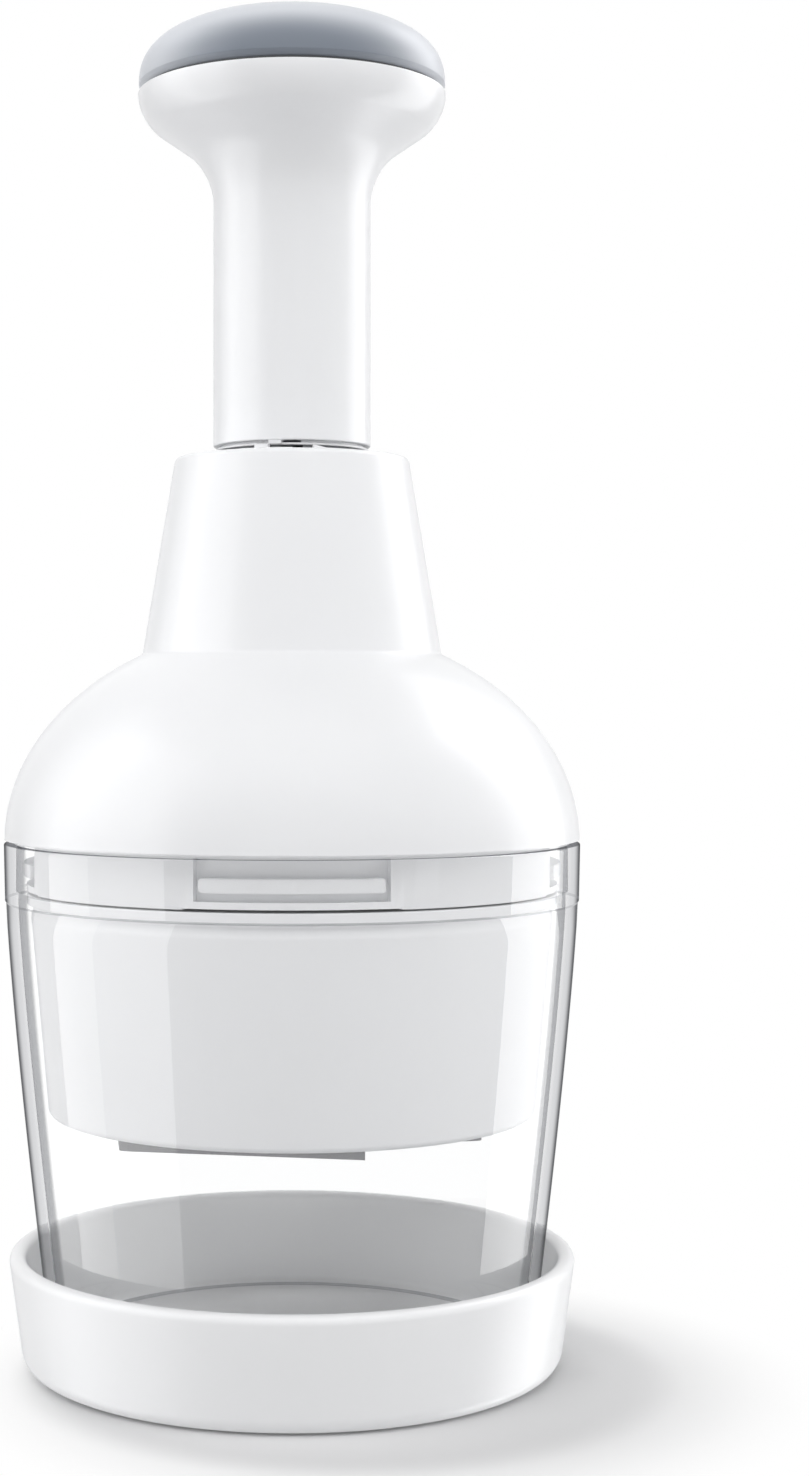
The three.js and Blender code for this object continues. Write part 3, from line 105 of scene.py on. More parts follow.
class Joining(Enum):
    """Ways in which one solid works on another."""

    ADD = "UNION"
    CUT = "DIFFERENCE"
    KEEP = "INTERSECT"


@dataclass(frozen=True)
class Corner:
    """Corner of an outline at a radius and a height, with the radius that rounds it."""

    r: float
    z: float
    round: float = 0.0

    def reach(self, before: Corner, after: Corner) -> float:
        """Finds how far from the corner its rounding starts.

        Args:
            before: The corner before this one.
            after: The corner after this one.

        Returns:
            The distance along both sides, in millimetres.
        """
        back = Vector((before.r - self.r, before.z - self.z))
        on = Vector((after.r - self.r, after.z - self.z))
        return self.round / math.tan(back.angle(on) / 2)


def swell(
    radius: float,
    rise: float,
    base: float,
    last: float = math.pi / 2,
    steps: int = 36,
    power: float = 1.0,
) -> list[Corner]:
    """Draws a domed curve from its rim towards the axis.

    Args:
        radius: Radius of the rim.
        rise: Height of the whole dome above its rim.
        base: Height of the rim.
        last: Angle at which the curve ends, a quarter turn on the axis.
        steps: Number of steps.
        power: Exponent that makes the curve fuller below 1.

    Returns:
        The corners, from the rim on.
    """
    corners = []
    for index in range(steps + 1):
        angle = last * index / steps
        across = max(math.cos(angle), 0.0) ** power
        corners.append(Corner(radius * across, base + rise * math.sin(angle) ** power))
    if math.isclose(last, math.pi / 2):
        corners[-1] = Corner(0.0, base + rise)
    return corners


class Solid:
    """A closed mesh in millimetres that is turned, cut and joined before it becomes a piece."""

    def __init__(self, mesh: bmesh.types.BMesh) -> None:
        """Keeps the mesh."""
        self.mesh = mesh

    @classmethod
    def lathe(
        cls, corners: Sequence[Corner], steps: int = ROUND_STEPS, segments: int = 6
    ) -> Solid:
        """Rounds the corners of an outline and spins it about the axis.

        Args:
            corners: The outline, closed unless both its ends lie on the axis.
            steps: Steps round the axis.
            segments: Steps of each rounded corner.

        Returns:
            The turned solid.
        """
        mesh = bmesh.new()
        verts = [mesh.verts.new((corner.r, 0, corner.z)) for corner in corners]
        for start, end in zip(verts, verts[1:]):
            mesh.edges.new((start, end))
        if corners[0].r > 0 or corners[-1].r > 0:
            mesh.edges.new((verts[-1], verts[0]))
        for index, corner in enumerate(corners):
            if corner.round > 0:
                after = corners[(index + 1) % len(corners)]
                bmesh.ops.bevel(
                    mesh,
                    geom=[verts[index]],
                    offset=corner.reach(corners[index - 1], after),
                    offset_type="OFFSET",
                    segments=segments,
                    profile=0.5,
                    affect="VERTICES",
                    material=-1,
                    clamp_overlap=False,
                )
        bmesh.ops.spin(
            mesh,
            geom=mesh.verts[:] + mesh.edges[:],
            cent=ORIGIN,
            axis=UP,
            angle=math.tau,
            steps=steps,
            use_merge=True,
        )
        return cls(mesh).closed()

    @classmethod
    def ring(
        cls, inner: float, outer: float, bottom: float, top: float, round_: float = 0.15
    ) -> Solid:
        """Turns a ring of rectangular section with slightly rounded edges.

        Args:
            inner: Inner radius.
            outer: Outer radius.
            bottom: Lower face.
            top: Upper face.
            round_: Radius of its edges.

        Returns:
            The ring.
        """
        places = ((inner, bottom), (outer, bottom), (outer, top), (inner, top))
        return cls.lathe([Corner(r, z, round_) for r, z in places], SMALL_STEPS * 2, 3)

    @classmethod
    def sector(
        cls,
        inner: float,
        outer: float,
        bottom: float,
        top: float,
        sweep: float,
        middle: float,
        steps: int = 20,
    ) -> Solid:
        """Spins an upright rectangle through part of a turn.

        Args:
            inner: Inner radius.
            outer: Outer radius.
            bottom: Lower face.
            top: Upper face.
            sweep: Angle of the sector.
            middle: Angle of its middle.
            steps: Steps along it.

        Returns:
            The sector.
        """
        mesh = bmesh.new()
        places = ((inner, bottom), (outer, bottom), (outer, top), (inner, top))
        face = mesh.faces.new([mesh.verts.new((r, 0, z)) for r, z in places])
        turn = Matrix.Rotation(middle - sweep / 2, 3, "Z")
        bmesh.ops.rotate(mesh, verts=mesh.verts, cent=ORIGIN, matrix=turn)
        bmesh.ops.spin(mesh, geom=[face], cent=ORIGIN, axis=UP, angle=sweep, steps=steps)
        return cls(mesh).closed()

    @classmethod
    def bar(cls, size: Sequence[float], centre: Sequence[float], edge: float = 0.0) -> Solid:
        """Makes a straight bar, with rounded edges if asked.

        Args:
            size: Lengths along X, Y and Z.
            centre: Its middle.
            edge: Radius of its edges.

        Returns:
            The bar.
        """
        mesh = bmesh.new()
        bmesh.ops.create_cube(mesh, size=1.0)
        bmesh.ops.scale(mesh, verts=mesh.verts, vec=size)
        bmesh.ops.translate(mesh, verts=mesh.verts, vec=centre)
        solid = cls(mesh)
        if edge > 0:
            solid.ease(mesh.edges[:], edge)
        return solid

    @classmethod
    def rod(cls, radius: float, bottom: float, top: float, chamfer: float = 0.2) -> Solid:
        """Turns an upright rod with chamfered ends.

        Args:
            radius: Its radius.
            bottom: Lower end.
            top: Upper end.
            chamfer: Width of the chamfers.

        Returns:
            The rod.
        """
        corners = [
            Corner(0, bottom),
            Corner(radius - chamfer, bottom),
            Corner(radius, bottom + chamfer),
            Corner(radius, top - chamfer),
            Corner(radius - chamfer, top),
            Corner(0, top),
        ]
        return cls.lathe(corners, SMALL_STEPS)

    def closed(self) -> Solid:
        """Merges doubled points and turns the faces outwards."""
        bmesh.ops.remove_doubles(self.mesh, verts=self.mesh.verts, dist=1e-5)
        bmesh.ops.recalc_face_normals(self.mesh, faces=self.mesh.faces)
        return self

    def copy(self) -> Solid:
        """Copies the solid."""
        return Solid(self.mesh.copy())

    def ease(self, edges: Iterable[bmesh.types.BMEdge], radius: float, segments: int = 3) -> Solid:
        """Rounds some of the edges.

        Args:
            edges: The edges.
            radius: How far the rounding reaches.
            segments: Steps of the rounding.

        Returns:
            The same solid.
        """
        bmesh.ops.bevel(
            self.mesh,
            geom=list(edges),
            offset=radius,
            offset_type="OFFSET",
            segments=segments,
            profile=0.5,
            affect="EDGES",
            material=-1,
            clamp_overlap=True,
        )
        return self

    def moved(self, matrix: Matrix) -> Solid:
        """Moves the solid by a matrix."""
        bmesh.ops.transform(self.mesh, matrix=matrix, verts=self.mesh.verts)
        return self

    def shifted(self, x: float, y: float, z: float) -> Solid:
        """Shifts the solid."""
        return self.moved(Matrix.Translation((x, y, z)))

    def turned(self, angle: float, axis: str = "Z") -> Solid:
        """Turns the solid about an axis through the origin."""
        return self.moved(Matrix.Rotation(angle, 4, axis))

    def round_copies(self, count: int, first: float = 0.0) -> Solid:
        """Places copies of the solid evenly round the axis.

        Args:
            count: Number of copies.
            first: Angle of the first.

        Returns:
            All the copies as one solid.
        """
        copies = [self.copy().turned(first + math.tau * index / count) for index in range(count)]
        return Solid.gathered(copies)

    @classmethod
    def gathered(cls, solids: Iterable[Solid]) -> Solid:
        """Puts solids that don't touch into one mesh.

        Args:
            solids: The solids.

        Returns:
            One solid that holds them all.
        """
        whole = bmesh.new()
        for solid in solids:
            held = bpy.data.meshes.new("held")
            solid.mesh.to_mesh(held)
            whole.from_mesh(held)
            bpy.data.meshes.remove(held)
        return cls(whole)

    def linked(self) -> bpy.types.Object:
        """Links the mesh into the scene for a moment."""
        held = bpy.data.meshes.new("held")
        self.mesh.to_mesh(held)
        thing = bpy.data.objects.new("held", held)
        bpy.context.scene.collection.objects.link(thing)
        return thing

    def worked(self, other: Solid, way: Joining) -> Solid:
        """Adds another solid, cuts it away, or keeps what both share.

        Args:
            other: The other solid.
            way: Which of the three.

        Returns:
            The same solid, changed.
        """
        target, tool = self.linked(), other.linked()
        modifier = target.modifiers.new("work", "BOOLEAN")
        modifier.operation = way.value
        modifier.solver = "EXACT"
        modifier.object = tool
        graph = bpy.context.evaluated_depsgraph_get()
        result = bpy.data.meshes.new_from_object(target.evaluated_get(graph))
        self.mesh.free()
        self.mesh = bmesh.new()
        self.mesh.from_mesh(result)
        meshes = [target.data, tool.data, result]
        bpy.data.objects.remove(target)
        bpy.data.objects.remove(tool)
        for mesh in meshes:
            bpy.data.meshes.remove(mesh)
        bmesh.ops.remove_doubles(self.mesh, verts=self.mesh.verts, dist=1e-4)
        bmesh.ops.dissolve_degenerate(self.mesh, edges=self.mesh.edges, dist=1e-4)
        return self

    def cut(self, *others: Solid) -> Solid:
        """Cuts others away, one after the other."""
        for other in others:
            self.worked(other, Joining.CUT)
        return self

    def add(self, *others: Solid) -> Solid:
        """Adds others, one after the other."""
        for other in others:
            self.worked(other, Joining.ADD)
        return self

    def piece(
        self,
        name: str,
        body: Body,
        finish: Finish,
        nodes: Sequence[str] = (),
        edge: float = 0.0,
    ) -> bpy.types.Object:
        """Finishes the solid as a piece of the object.

        Args:
            name: The piece's name.
            body: The body it rides on.
            finish: Its surface.
            nodes: Frame nodes that it stands for.
            edge: Width of a fine bevel on its sharp edges, or 0.

        Returns:
            The piece.
        """
        bmesh.ops.scale(self.mesh, verts=self.mesh.verts, vec=(MM, MM, MM))
        data = bpy.data.meshes.new(name)
        self.mesh.to_mesh(data)
        self.mesh.free()
        data.shade_smooth()
        data.set_sharp_from_angle(angle=SHARP_ANGLE)
        thing = bpy.data.objects.new(name, data)
        bpy.context.scene.collection.objects.link(thing)
        if edge > 0:
            bevel = thing.modifiers.new("fine edge", "BEVEL")
            bevel.width = edge * MM
            bevel.segments = 2
            bevel.limit_method = "ANGLE"
            bevel.angle_limit = SHARP_ANGLE
            bevel.harden_normals = True
        data.materials.append(finish.material())
        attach(thing, body.value)
        if nodes:
            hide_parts(*nodes)
        return thing


class Number:
    """A shader socket that holds a number and takes part in sums."""

    def __init__(self, shader: Shader, socket: bpy.types.NodeSocket) -> None:
        """Keeps the socket and the shader that it belongs to."""
        self.shader = shader
        self.socket = socket

    def _sum(self, operation: str, first: Term, second: Term) -> Number:
        """Adds the Math node of one operation."""
        made = self.shader.node("ShaderNodeMath", {"operation": operation}, {0: first, 1: second})
        return Number(self.shader, made.outputs[0])

    def __add__(self, other: Term) -> Number:
        """Adds."""
        return self._sum("ADD", self, other)

    def __radd__(self, other: Term) -> Number:
        """Adds, from the right."""
        return self._sum("ADD", other, self)

    def __sub__(self, other: Term) -> Number:
        """Subtracts."""
        return self._sum("SUBTRACT", self, other)

    def __rsub__(self, other: Term) -> Number:
        """Subtracts, from the right."""
        return self._sum("SUBTRACT", other, self)

    def __mul__(self, other: Term) -> Number:
        """Multiplies."""
        return self._sum("MULTIPLY", self, other)

    def __rmul__(self, other: Term) -> Number:
        """Multiplies, from the right."""
        return self._sum("MULTIPLY", other, self)

    def most(self, other: Term) -> Number:
        """Takes the larger of two."""
        return self._sum("MAXIMUM", self, other)

    def eased(self, low: float, high: float) -> Number:
        """Rises smoothly from 0 at one value to 1 at another.

        Args:
            low: Where it is 0.
            high: Where it is 1.

        Returns:
            The eased number.
        """
        settings = {"interpolation_type": "SMOOTHSTEP"}
        sockets = {"Value": self, "From Min": low, "From Max": high}
        made = self.shader.node("ShaderNodeMapRange", settings, sockets)
        return Number(self.shader, made.outputs["Result"])


Term = Number | float
Colour = tuple[float, float, float]


class Shader:
    """A node tree, built one node at a time."""

    def __init__(self, tree: bpy.types.NodeTree, material: bpy.types.Material | None) -> None:
        """Keeps the tree, emptied, and the material that it belongs to, if any."""
        self.tree = tree
        self.material = material
        tree.nodes.clear()

    @classmethod
    def named(cls, name: str) -> Shader:
        """Starts a new material."""
        material = bpy.data.materials.new(name)
        material.use_nodes = True
        return cls(material.node_tree, material)

    @classmethod
    def on(cls, tree: bpy.types.NodeTree) -> Shader:
        """Starts on the tree of the world."""
        return cls(tree, None)

    def node(
        self,
        kind: str,
        settings: dict[str, object] | None = None,
        sockets: dict[str | int, object] | None = None,
    ) -> bpy.types.Node:
        """Adds a node, sets it up and joins its sockets.

        Args:
            kind: The node's type.
            settings: Its own settings.
            sockets: Values or links for its inputs, by name or number.

        Returns:
            The node.
        """
        made = self.tree.nodes.new(kind)
        for key, value in (settings or {}).items():
            setattr(made, key, value)
        for key, value in (sockets or {}).items():
            target = made.inputs[key]
            source = value.socket if isinstance(value, Number) else value
            if isinstance(source, bpy.types.NodeSocket):
                self.tree.links.new(source, target)
            elif isinstance(source, tuple) and len(source) == 3 and target.type == "RGBA":
                target.default_value = (*source, 1.0)
            else:
                target.default_value = source
        return made

    def place(self, stretch: Sequence[float] = (1, 1, 1)) -> bpy.types.NodeSocket:
        """Gives the place on the object, stretched along its axes.

        Args:
            stretch: How much finer a pattern gets along each axis.

        Returns:
            The place as a vector socket.
        """
        spot = self.node("ShaderNodeTexCoord").outputs["Object"]
        sockets = {"Vector": spot, "Scale": tuple(stretch)}
        return self.node("ShaderNodeMapping", None, sockets).outputs["Vector"]

    def noise(
        self, spot: bpy.types.NodeSocket, scale: float, detail: float = 2.0, rough: float = 0.5
    ) -> Number:
        """Adds cloudy noise.

        Args:
            spot: Where it is read.
            scale: Its fineness, in patterns a metre.
            detail: Number of finer layers.
            rough: Strength of the finer layers.

        Returns:
            The noise, from 0 to 1.
        """
        sockets = {"Vector": spot, "Scale": scale, "Detail": detail, "Roughness": rough}
        made = self.node("ShaderNodeTexNoise", {"normalize": True}, sockets)
        return Number(self, made.outputs[0])

    def mixed(self, share: Term, first: object, second: object) -> bpy.types.NodeSocket:
        """Mixes two colours.

        Args:
            share: Share of the second colour.
            first: First colour or link.
            second: Second colour or link.

        Returns:
            The mixed colour's socket.
        """
        made = self.node("ShaderNodeMix", {"data_type": "RGBA"}, {"Factor": share})
        for index, value in ((6, first), (7, second)):
            if isinstance(value, bpy.types.NodeSocket):
                self.tree.links.new(value, made.inputs[index])
            else:
                made.inputs[index].default_value = (*value, 1.0)
        return made.outputs[2]

    def bumped(self, height: Number, strength: float, distance: float) -> bpy.types.NodeSocket:
        """Turns a height into a normal.

        Args:
            height: The height.
            strength: Strength of the bump.
            distance: Height of the bump, in metres.

        Returns:
            The normal's socket.
        """
        sockets = {"Height": height, "Strength": strength, "Distance": distance}
        return self.node("ShaderNodeBump", None, sockets).outputs["Normal"]

    def edge(self) -> Number:
        """Finds the rounded edges, where the finishes paint a lighter highlight into the colour."""
        pointed = self.node("ShaderNodeNewGeometry").outputs["Pointiness"]
        return Number(self, pointed).eased(0.505, 0.56)

    def grazing(self) -> Number:
        """Tells how far a surface is turned away from the eye, from 0 to 1."""
        weight = self.node("ShaderNodeLayerWeight", None, {"Blend": 0.5})
        return Number(self, weight.outputs["Facing"])

    def seen(self) -> Number:
        """Tells whether a surface is seen, directly, mirrored or through clear plastic."""
        path = self.node("ShaderNodeLightPath").outputs
        straight = Number(self, path["Is Camera Ray"])
        mirrored = Number(self, path["Is Glossy Ray"])
        return straight.most(mirrored).most(Number(self, path["Is Transmission Ray"]))

    def finished(self, surface: bpy.types.NodeSocket) -> bpy.types.Material:
        """Joins the surface to the output.

        Args:
            surface: The shader socket.

        Returns:
            The material.
        """
        self.node("ShaderNodeOutputMaterial", None, {"Surface": surface})
        return self.material


@dataclass(frozen=True)
class Finish:
    """A surface that pieces share."""

    name: str
    slot: str

    def material(self) -> bpy.types.Material:
        """Builds the material the first time, and finds it again after that."""
        return bpy.data.materials.get(self.name) or self.build()

    def build(self) -> bpy.types.Material:
        """Builds the material."""
        raise NotImplementedError


@dataclass(frozen=True)
class Moulding(Finish):
    """Moulded plastic: slightly uneven gloss, fine orange peel and hairline handling marks, with a
    painted highlight on rounded edges and a painted rim tone where it is seen edge-on.
    """

    colour: Colour
    roughness: float
    coat: float = 0.0
    coat_roughness: float = 0.08
    peel: float = 0.06
    grain: float = 0.0
    # Painted rim tone, mixed in where the surface is seen edge-on: painted shade on pale finishes, a
    # painted sheen on dark ones.
    rim: Colour = (0.62, 0.63, 0.65)
    painted_rim_from: float = 0.8
    painted_rim_to: float = 0.98
    painted_rim_share: float = 0.9
    ior: float = 1.46

    def build(self) -> bpy.types.Material:
        """Builds the plastic."""
        shader = Shader.named(self.name)
        spot = shader.place()
        cloud = shader.noise(spot, 22, 3)
        haze = shader.noise(spot, 160, 6, 0.62)
        scuff = shader.noise(shader.place((1, 1, 0.05)), 700, 2, 0.6).eased(0.6, 0.8)
        peel = shader.noise(spot, 260, 2)
        grain = shader.noise(spot, 2600, 2, 0.6)
        edge = shader.edge()
        shade = tuple(part * 0.965 for part in self.colour)
        light = tuple(min(part * 1.03, 0.93) for part in self.colour)
        base = shader.mixed(cloud * 0.6 + haze * 0.4, shade, self.colour)
        # Painted highlight: the colour is lightened on the rounded edges.
        base = shader.mixed(edge * 0.6, base, light)
        # Painted rim light and shade: the colour turns to the rim colour as the surface turns edge-on to
        # the eye.
        turned = shader.grazing().eased(self.painted_rim_from, self.painted_rim_to)
        base = shader.mixed(turned * self.painted_rim_share, base, self.rim)
        rough = self.roughness + (haze - 0.5) * 0.08 + scuff * 0.04 - edge * 0.05
        height = peel * self.peel + grain * self.grain
        sockets = {
            "Base Color": base,
            "Roughness": rough + grain * 0.04 * (1 if self.grain else 0),
            "Coat Weight": self.coat,
            "Coat Roughness": self.coat_roughness,
            "IOR": self.ior,
            "Normal": shader.bumped(height, 0.5, 0.0001),
        }
        return shader.finished(shader.node("ShaderNodeBsdfPrincipled", None, sockets).outputs[0])


@dataclass(frozen=True)
class ClearPlastic(Finish):
    """Clear moulded plastic, cool and glossy on top, with painted shade: darker where it is seen
    edge-on, darker on its inner wall and a dark line along its step; the edge-on shade weakens towards
    the bottom.
    """

    tint: Colour = (0.995, 0.997, 0.998)
    # Colours of painted shade: for outer faces seen edge-on, for the inner wall seen edge-on, and for
    # the step.
    painted_edge_shade: Colour = (0.68, 0.685, 0.7)
    outline: Colour = (0.05, 0.052, 0.06)
    inside: Colour = (0.5, 0.505, 0.52)
    fold: Colour = (0.32, 0.325, 0.335)
    painted_step_shade: Colour = (0.48, 0.485, 0.5)

    def build(self) -> bpy.types.Material:
        """Builds the clear plastic."""
        shader = Shader.named(self.name)
        haze = shader.noise(shader.place(), 120, 5, 0.6)
        flow = shader.noise(shader.place((1, 1, 0.15)), 60, 2)
        parts = shader.node("ShaderNodeSeparateXYZ", None, {0: shader.place()})
        height = Number(shader, parts.outputs["Z"])
        turned = shader.grazing()
        # Painted shade: the edge-on darkening fades towards the bottom of the cup.
        depth = height.eased(0.006, 0.03) * 0.45 + 0.55
        inner, step_shade = (
            Number(shader, shader.node("ShaderNodeAttribute", {"attribute_name": mark}).outputs[2])
            for mark in (INNER_MARK, STEP_SHADE_MARK)
        )
        # Painted shade: outer faces turn grey, then nearly black, as they turn edge-on; inner faces
        # darken too.
        outer = shader.mixed(turned.eased(0.58, 0.78) * depth, self.tint, self.painted_edge_shade)
        outer = shader.mixed(turned.eased(0.78, 0.92) * depth, outer, self.outline)
        wall = shader.mixed(turned.eased(0.72, 0.77) * depth, self.tint, self.inside)
        wall = shader.mixed(turned.eased(0.88, 0.96) * depth, wall, self.fold)
        base = shader.mixed(inner, outer, wall)
        sockets = {
            # Painted shade: a dark line on the step's faces and on the faces that look down.
            "Base Color": shader.mixed(step_shade, base, self.painted_step_shade),
            "Roughness": haze * 0.004,
            "IOR": 1.004,
            "Transmission Weight": 1.0,
            "Coat Weight": (0.9 + haze * 0.1) * (1 - turned.eased(0.5, 0.8)) * (1 - inner),
            "Coat Roughness": 0.02,
            "Coat IOR": 1.49,
            "Normal": shader.bumped(flow, 0.1, 0.0002),
        }
        glass = shader.node("ShaderNodeBsdfPrincipled", None, sockets).outputs[0]
        plain = shader.node("ShaderNodeBsdfTransparent", None, {"Color": (0.99, 0.99, 0.99)})
        path = shader.node("ShaderNodeLightPath").outputs
        shadow = Number(shader, path["Is Shadow Ray"])
        through = shadow.most(Number(shader, path["Is Diffuse Ray"]))
        sockets = {0: through, 1: glass, 2: plain.outputs[0]}
        return shader.finished(shader.node("ShaderNodeMixShader", None, sockets).outputs[0])


@dataclass(frozen=True)
class Steel(Finish):
    """Stainless steel with lines left by the grinding wheel, and a painted highlight on its rounded
    edges.
    """

    colour: Colour
    roughness: float
    lines: tuple[float, float, float] = (1.0, 1.0, 40.0)
    ground_below: float = -1.0

    def build(self) -> bpy.types.Material:
        """Builds the steel."""
        shader = Shader.named(self.name)
        spot = shader.place()
        brushed = shader.noise(shader.place(self.lines), 160, 4, 0.7)
        smear = shader.noise(spot, 70, 5, 0.6)
        edge = shader.edge()
        dark = tuple(part * 0.8 for part in self.colour)
        light = tuple(min(part * 1.15, 0.95) for part in self.colour)
        base = shader.mixed(brushed * 0.5 + smear * 0.5, dark, self.colour)
        # Painted highlight: the colour is lightened on the rounded edges.
        base = shader.mixed(edge * 0.7, base, light)
        rough = self.roughness + (brushed - 0.5) * 0.16 + (smear - 0.5) * 0.08
        if self.ground_below > 0:
            parts = shader.node("ShaderNodeSeparateXYZ", None, {0: spot})
            height = Number(shader, parts.outputs["Z"])
            level = self.ground_below * MM
            ground = 1 - height.eased(level - 0.0001, level + 0.0001)
            base = shader.mixed(ground * 0.55, base, light)
            rough = rough + ground * 0.1
        sockets = {
            "Base Color": base,
            "Metallic": 1.0,
            "Roughness": rough,
            "Normal": shader.bumped(brushed, 0.25, 0.00004),
        }
        return shader.finished(shader.node("ShaderNodeBsdfPrincipled", None, sockets).outputs[0])


# The white finishes keep the default rim colour: painted grey shade along their silhouettes.
WHITE = Moulding("glossy_white", "white_plastic", (0.85, 0.856, 0.87), 0.32, 0.2, 0.16, 0.05)
# Painted light: a lighter copy of the white plastic for the dish, standing in for light that its shaded
# inside lacks.
BRIGHTENED_WHITE = Moulding("brightened_white", "white_plastic", (0.89, 0.895, 0.905), 0.36, 0.12, 0.2, 0.05)
GRIP = Moulding(
    "satin_grip",
    "grip_plastic",
    (0.21, 0.235, 0.275),
    0.34,
    coat=0.08,
    coat_roughness=0.2,
    peel=0.03,
    grain=0.04,
    # Painted sheen: a pale rim colour over much of the dark grip as it turns from the eye.
    rim=(0.62, 0.64, 0.68),
    painted_rim_from=0.06,
    painted_rim_to=0.65,
    painted_rim_share=0.95,
    ior=1.25,
)
SATIN = Moulding("satin_white", "white_plastic", (0.85, 0.856, 0.87), 0.48, 0.0, 0.3, 0.04)
GREY = Moulding("grey_acetal", "grey_plastic", (0.6, 0.615, 0.635), 0.4, 0.0, 0.3, 0.04, 0.02)
# The rubber keeps the default rim colour, a painted pale sheen where it is seen edge-on.
RUBBER = Moulding("soft_rubber", "rubber", (0.07, 0.074, 0.08), 0.78, 0.0, 0.3, 0.1, 0.06)
CLEAR = ClearPlastic("clear_cup_plastic", "clear_plastic")
BLADE_STEEL = Steel("ground_blade", "blade_steel", (0.22, 0.22, 0.228), 0.3, (1, 1, 0.05), 42.7)
PLAIN_STEEL = Steel("plain_stainless", "steel", (0.55, 0.56, 0.58), 0.24, (1, 1, 30))


@dataclass
class BaseDish:
    """Dish that the cup stands in, with a foot ring under it."""

    rim_radius: float = 49.1
    foot_radius: float = 46.4
    height: float = 19.4
    wall: float = 2.9
    floor: float = 2.6
    ring_inner: float = 37.7
    ring_height: float = 0.9

    def outline(self) -> list[Corner]:
        """Draws the dish's section."""
        return [
            Corner(0, self.ring_height),
            Corner(self.ring_inner - self.ring_height, self.ring_height, 0.6),
            Corner(self.ring_inner, 0, 0.5),
            Corner(self.foot_radius, 0, 3.2),
            Corner(self.rim_radius, self.height, 1.35),
            Corner(self.rim_radius - self.wall, self.height, 1.35),
            Corner(self.foot_radius - self.wall, self.floor, 1.6),
            Corner(0, self.floor),
        ]

    def build(self) -> Iterator[bpy.types.Object]:
        """Builds the dish."""
        dish = Solid.lathe(self.outline(), ROUND_STEPS, 8)
        # The dish takes the lightened copy of the white plastic, painted light for its shaded inside.
        yield dish.piece("dish", Body.BASE, BRIGHTENED_WHITE, ["base_dish"])


@dataclass
class ClearCup:
    """Clear cup, bowed and tapered, with a slightly wider band round its top."""

    bottom: float = 2.9
    top: float = 89.9
    rim_radius: float = 49.9
    mouth_radius: float = 41.7
    wall: float = 2.1
    step: float = 0.4
    band: float = 10.1
    bow: float = 1.22
    steps: int = 20

    def side(self, inset: float) -> list[Corner]:
        """Draws the bowed side from the mouth up to the band.

        Args:
            inset: How far the curve lies inside the outer one.

        Returns:
            The corners, from the mouth up.
        """
        band_radius = self.rim_radius - self.step
        climb = self.top - self.band - self.bottom
        corners = []
        for index in range(self.steps + 1):
            share = index / self.steps
            widening = 1 - (1 - share) ** self.bow
            radius = self.mouth_radius + (band_radius - self.mouth_radius) * widening
            round_ = 0.0 if index else 0.5
            corners.append(Corner(radius - inset, self.bottom + climb * share, round_))
        return corners

    def outline(self) -> list[Corner]:
        """Draws the cup's section."""
        inner = self.rim_radius - self.wall
        band_bottom = self.top - self.band + self.step
        return [
            *self.side(0),
            Corner(self.rim_radius - self.step / 2, band_bottom, 0.08),
            Corner(self.rim_radius, self.top, 0.3),
            Corner(inner, self.top, 0.3),
            Corner(inner, band_bottom + 1.7),
            Corner(inner - 0.25, band_bottom + 1.35),
            *reversed(self.side(self.wall)),
        ]

    def mark(self, data: bpy.types.Mesh) -> None:
        """Marks the faces that look inwards, and the step's faces and the faces that look down, where
        the clear finish paints shade.
        """
        inner = data.attributes.new(INNER_MARK, "FLOAT", "FACE")
        step_shade = data.attributes.new(STEP_SHADE_MARK, "FLOAT", "FACE")
        step = (self.top - self.band) * MM
        for index, face in enumerate(data.polygons):
            inwards = face.normal.xy.dot(face.center.xy) < 0
            low, high = (1.7, 2.15) if inwards else (-0.02, 0.42)
            inner.data[index].value = float(inwards)
            on_step = low * MM < face.center.z - step < high * MM
            step_shade.data[index].value = float(on_step or face.normal.z < -0.7)

    def build(self) -> Iterator[bpy.types.Object]:
        """Builds the cup."""
        cup = Solid.lathe(self.outline(), ROUND_STEPS + 32, 5)
        piece = cup.piece("cup_wall", Body.CUP, CLEAR, ["clear_cup"])
        self.mark(piece.data)
        yield piece


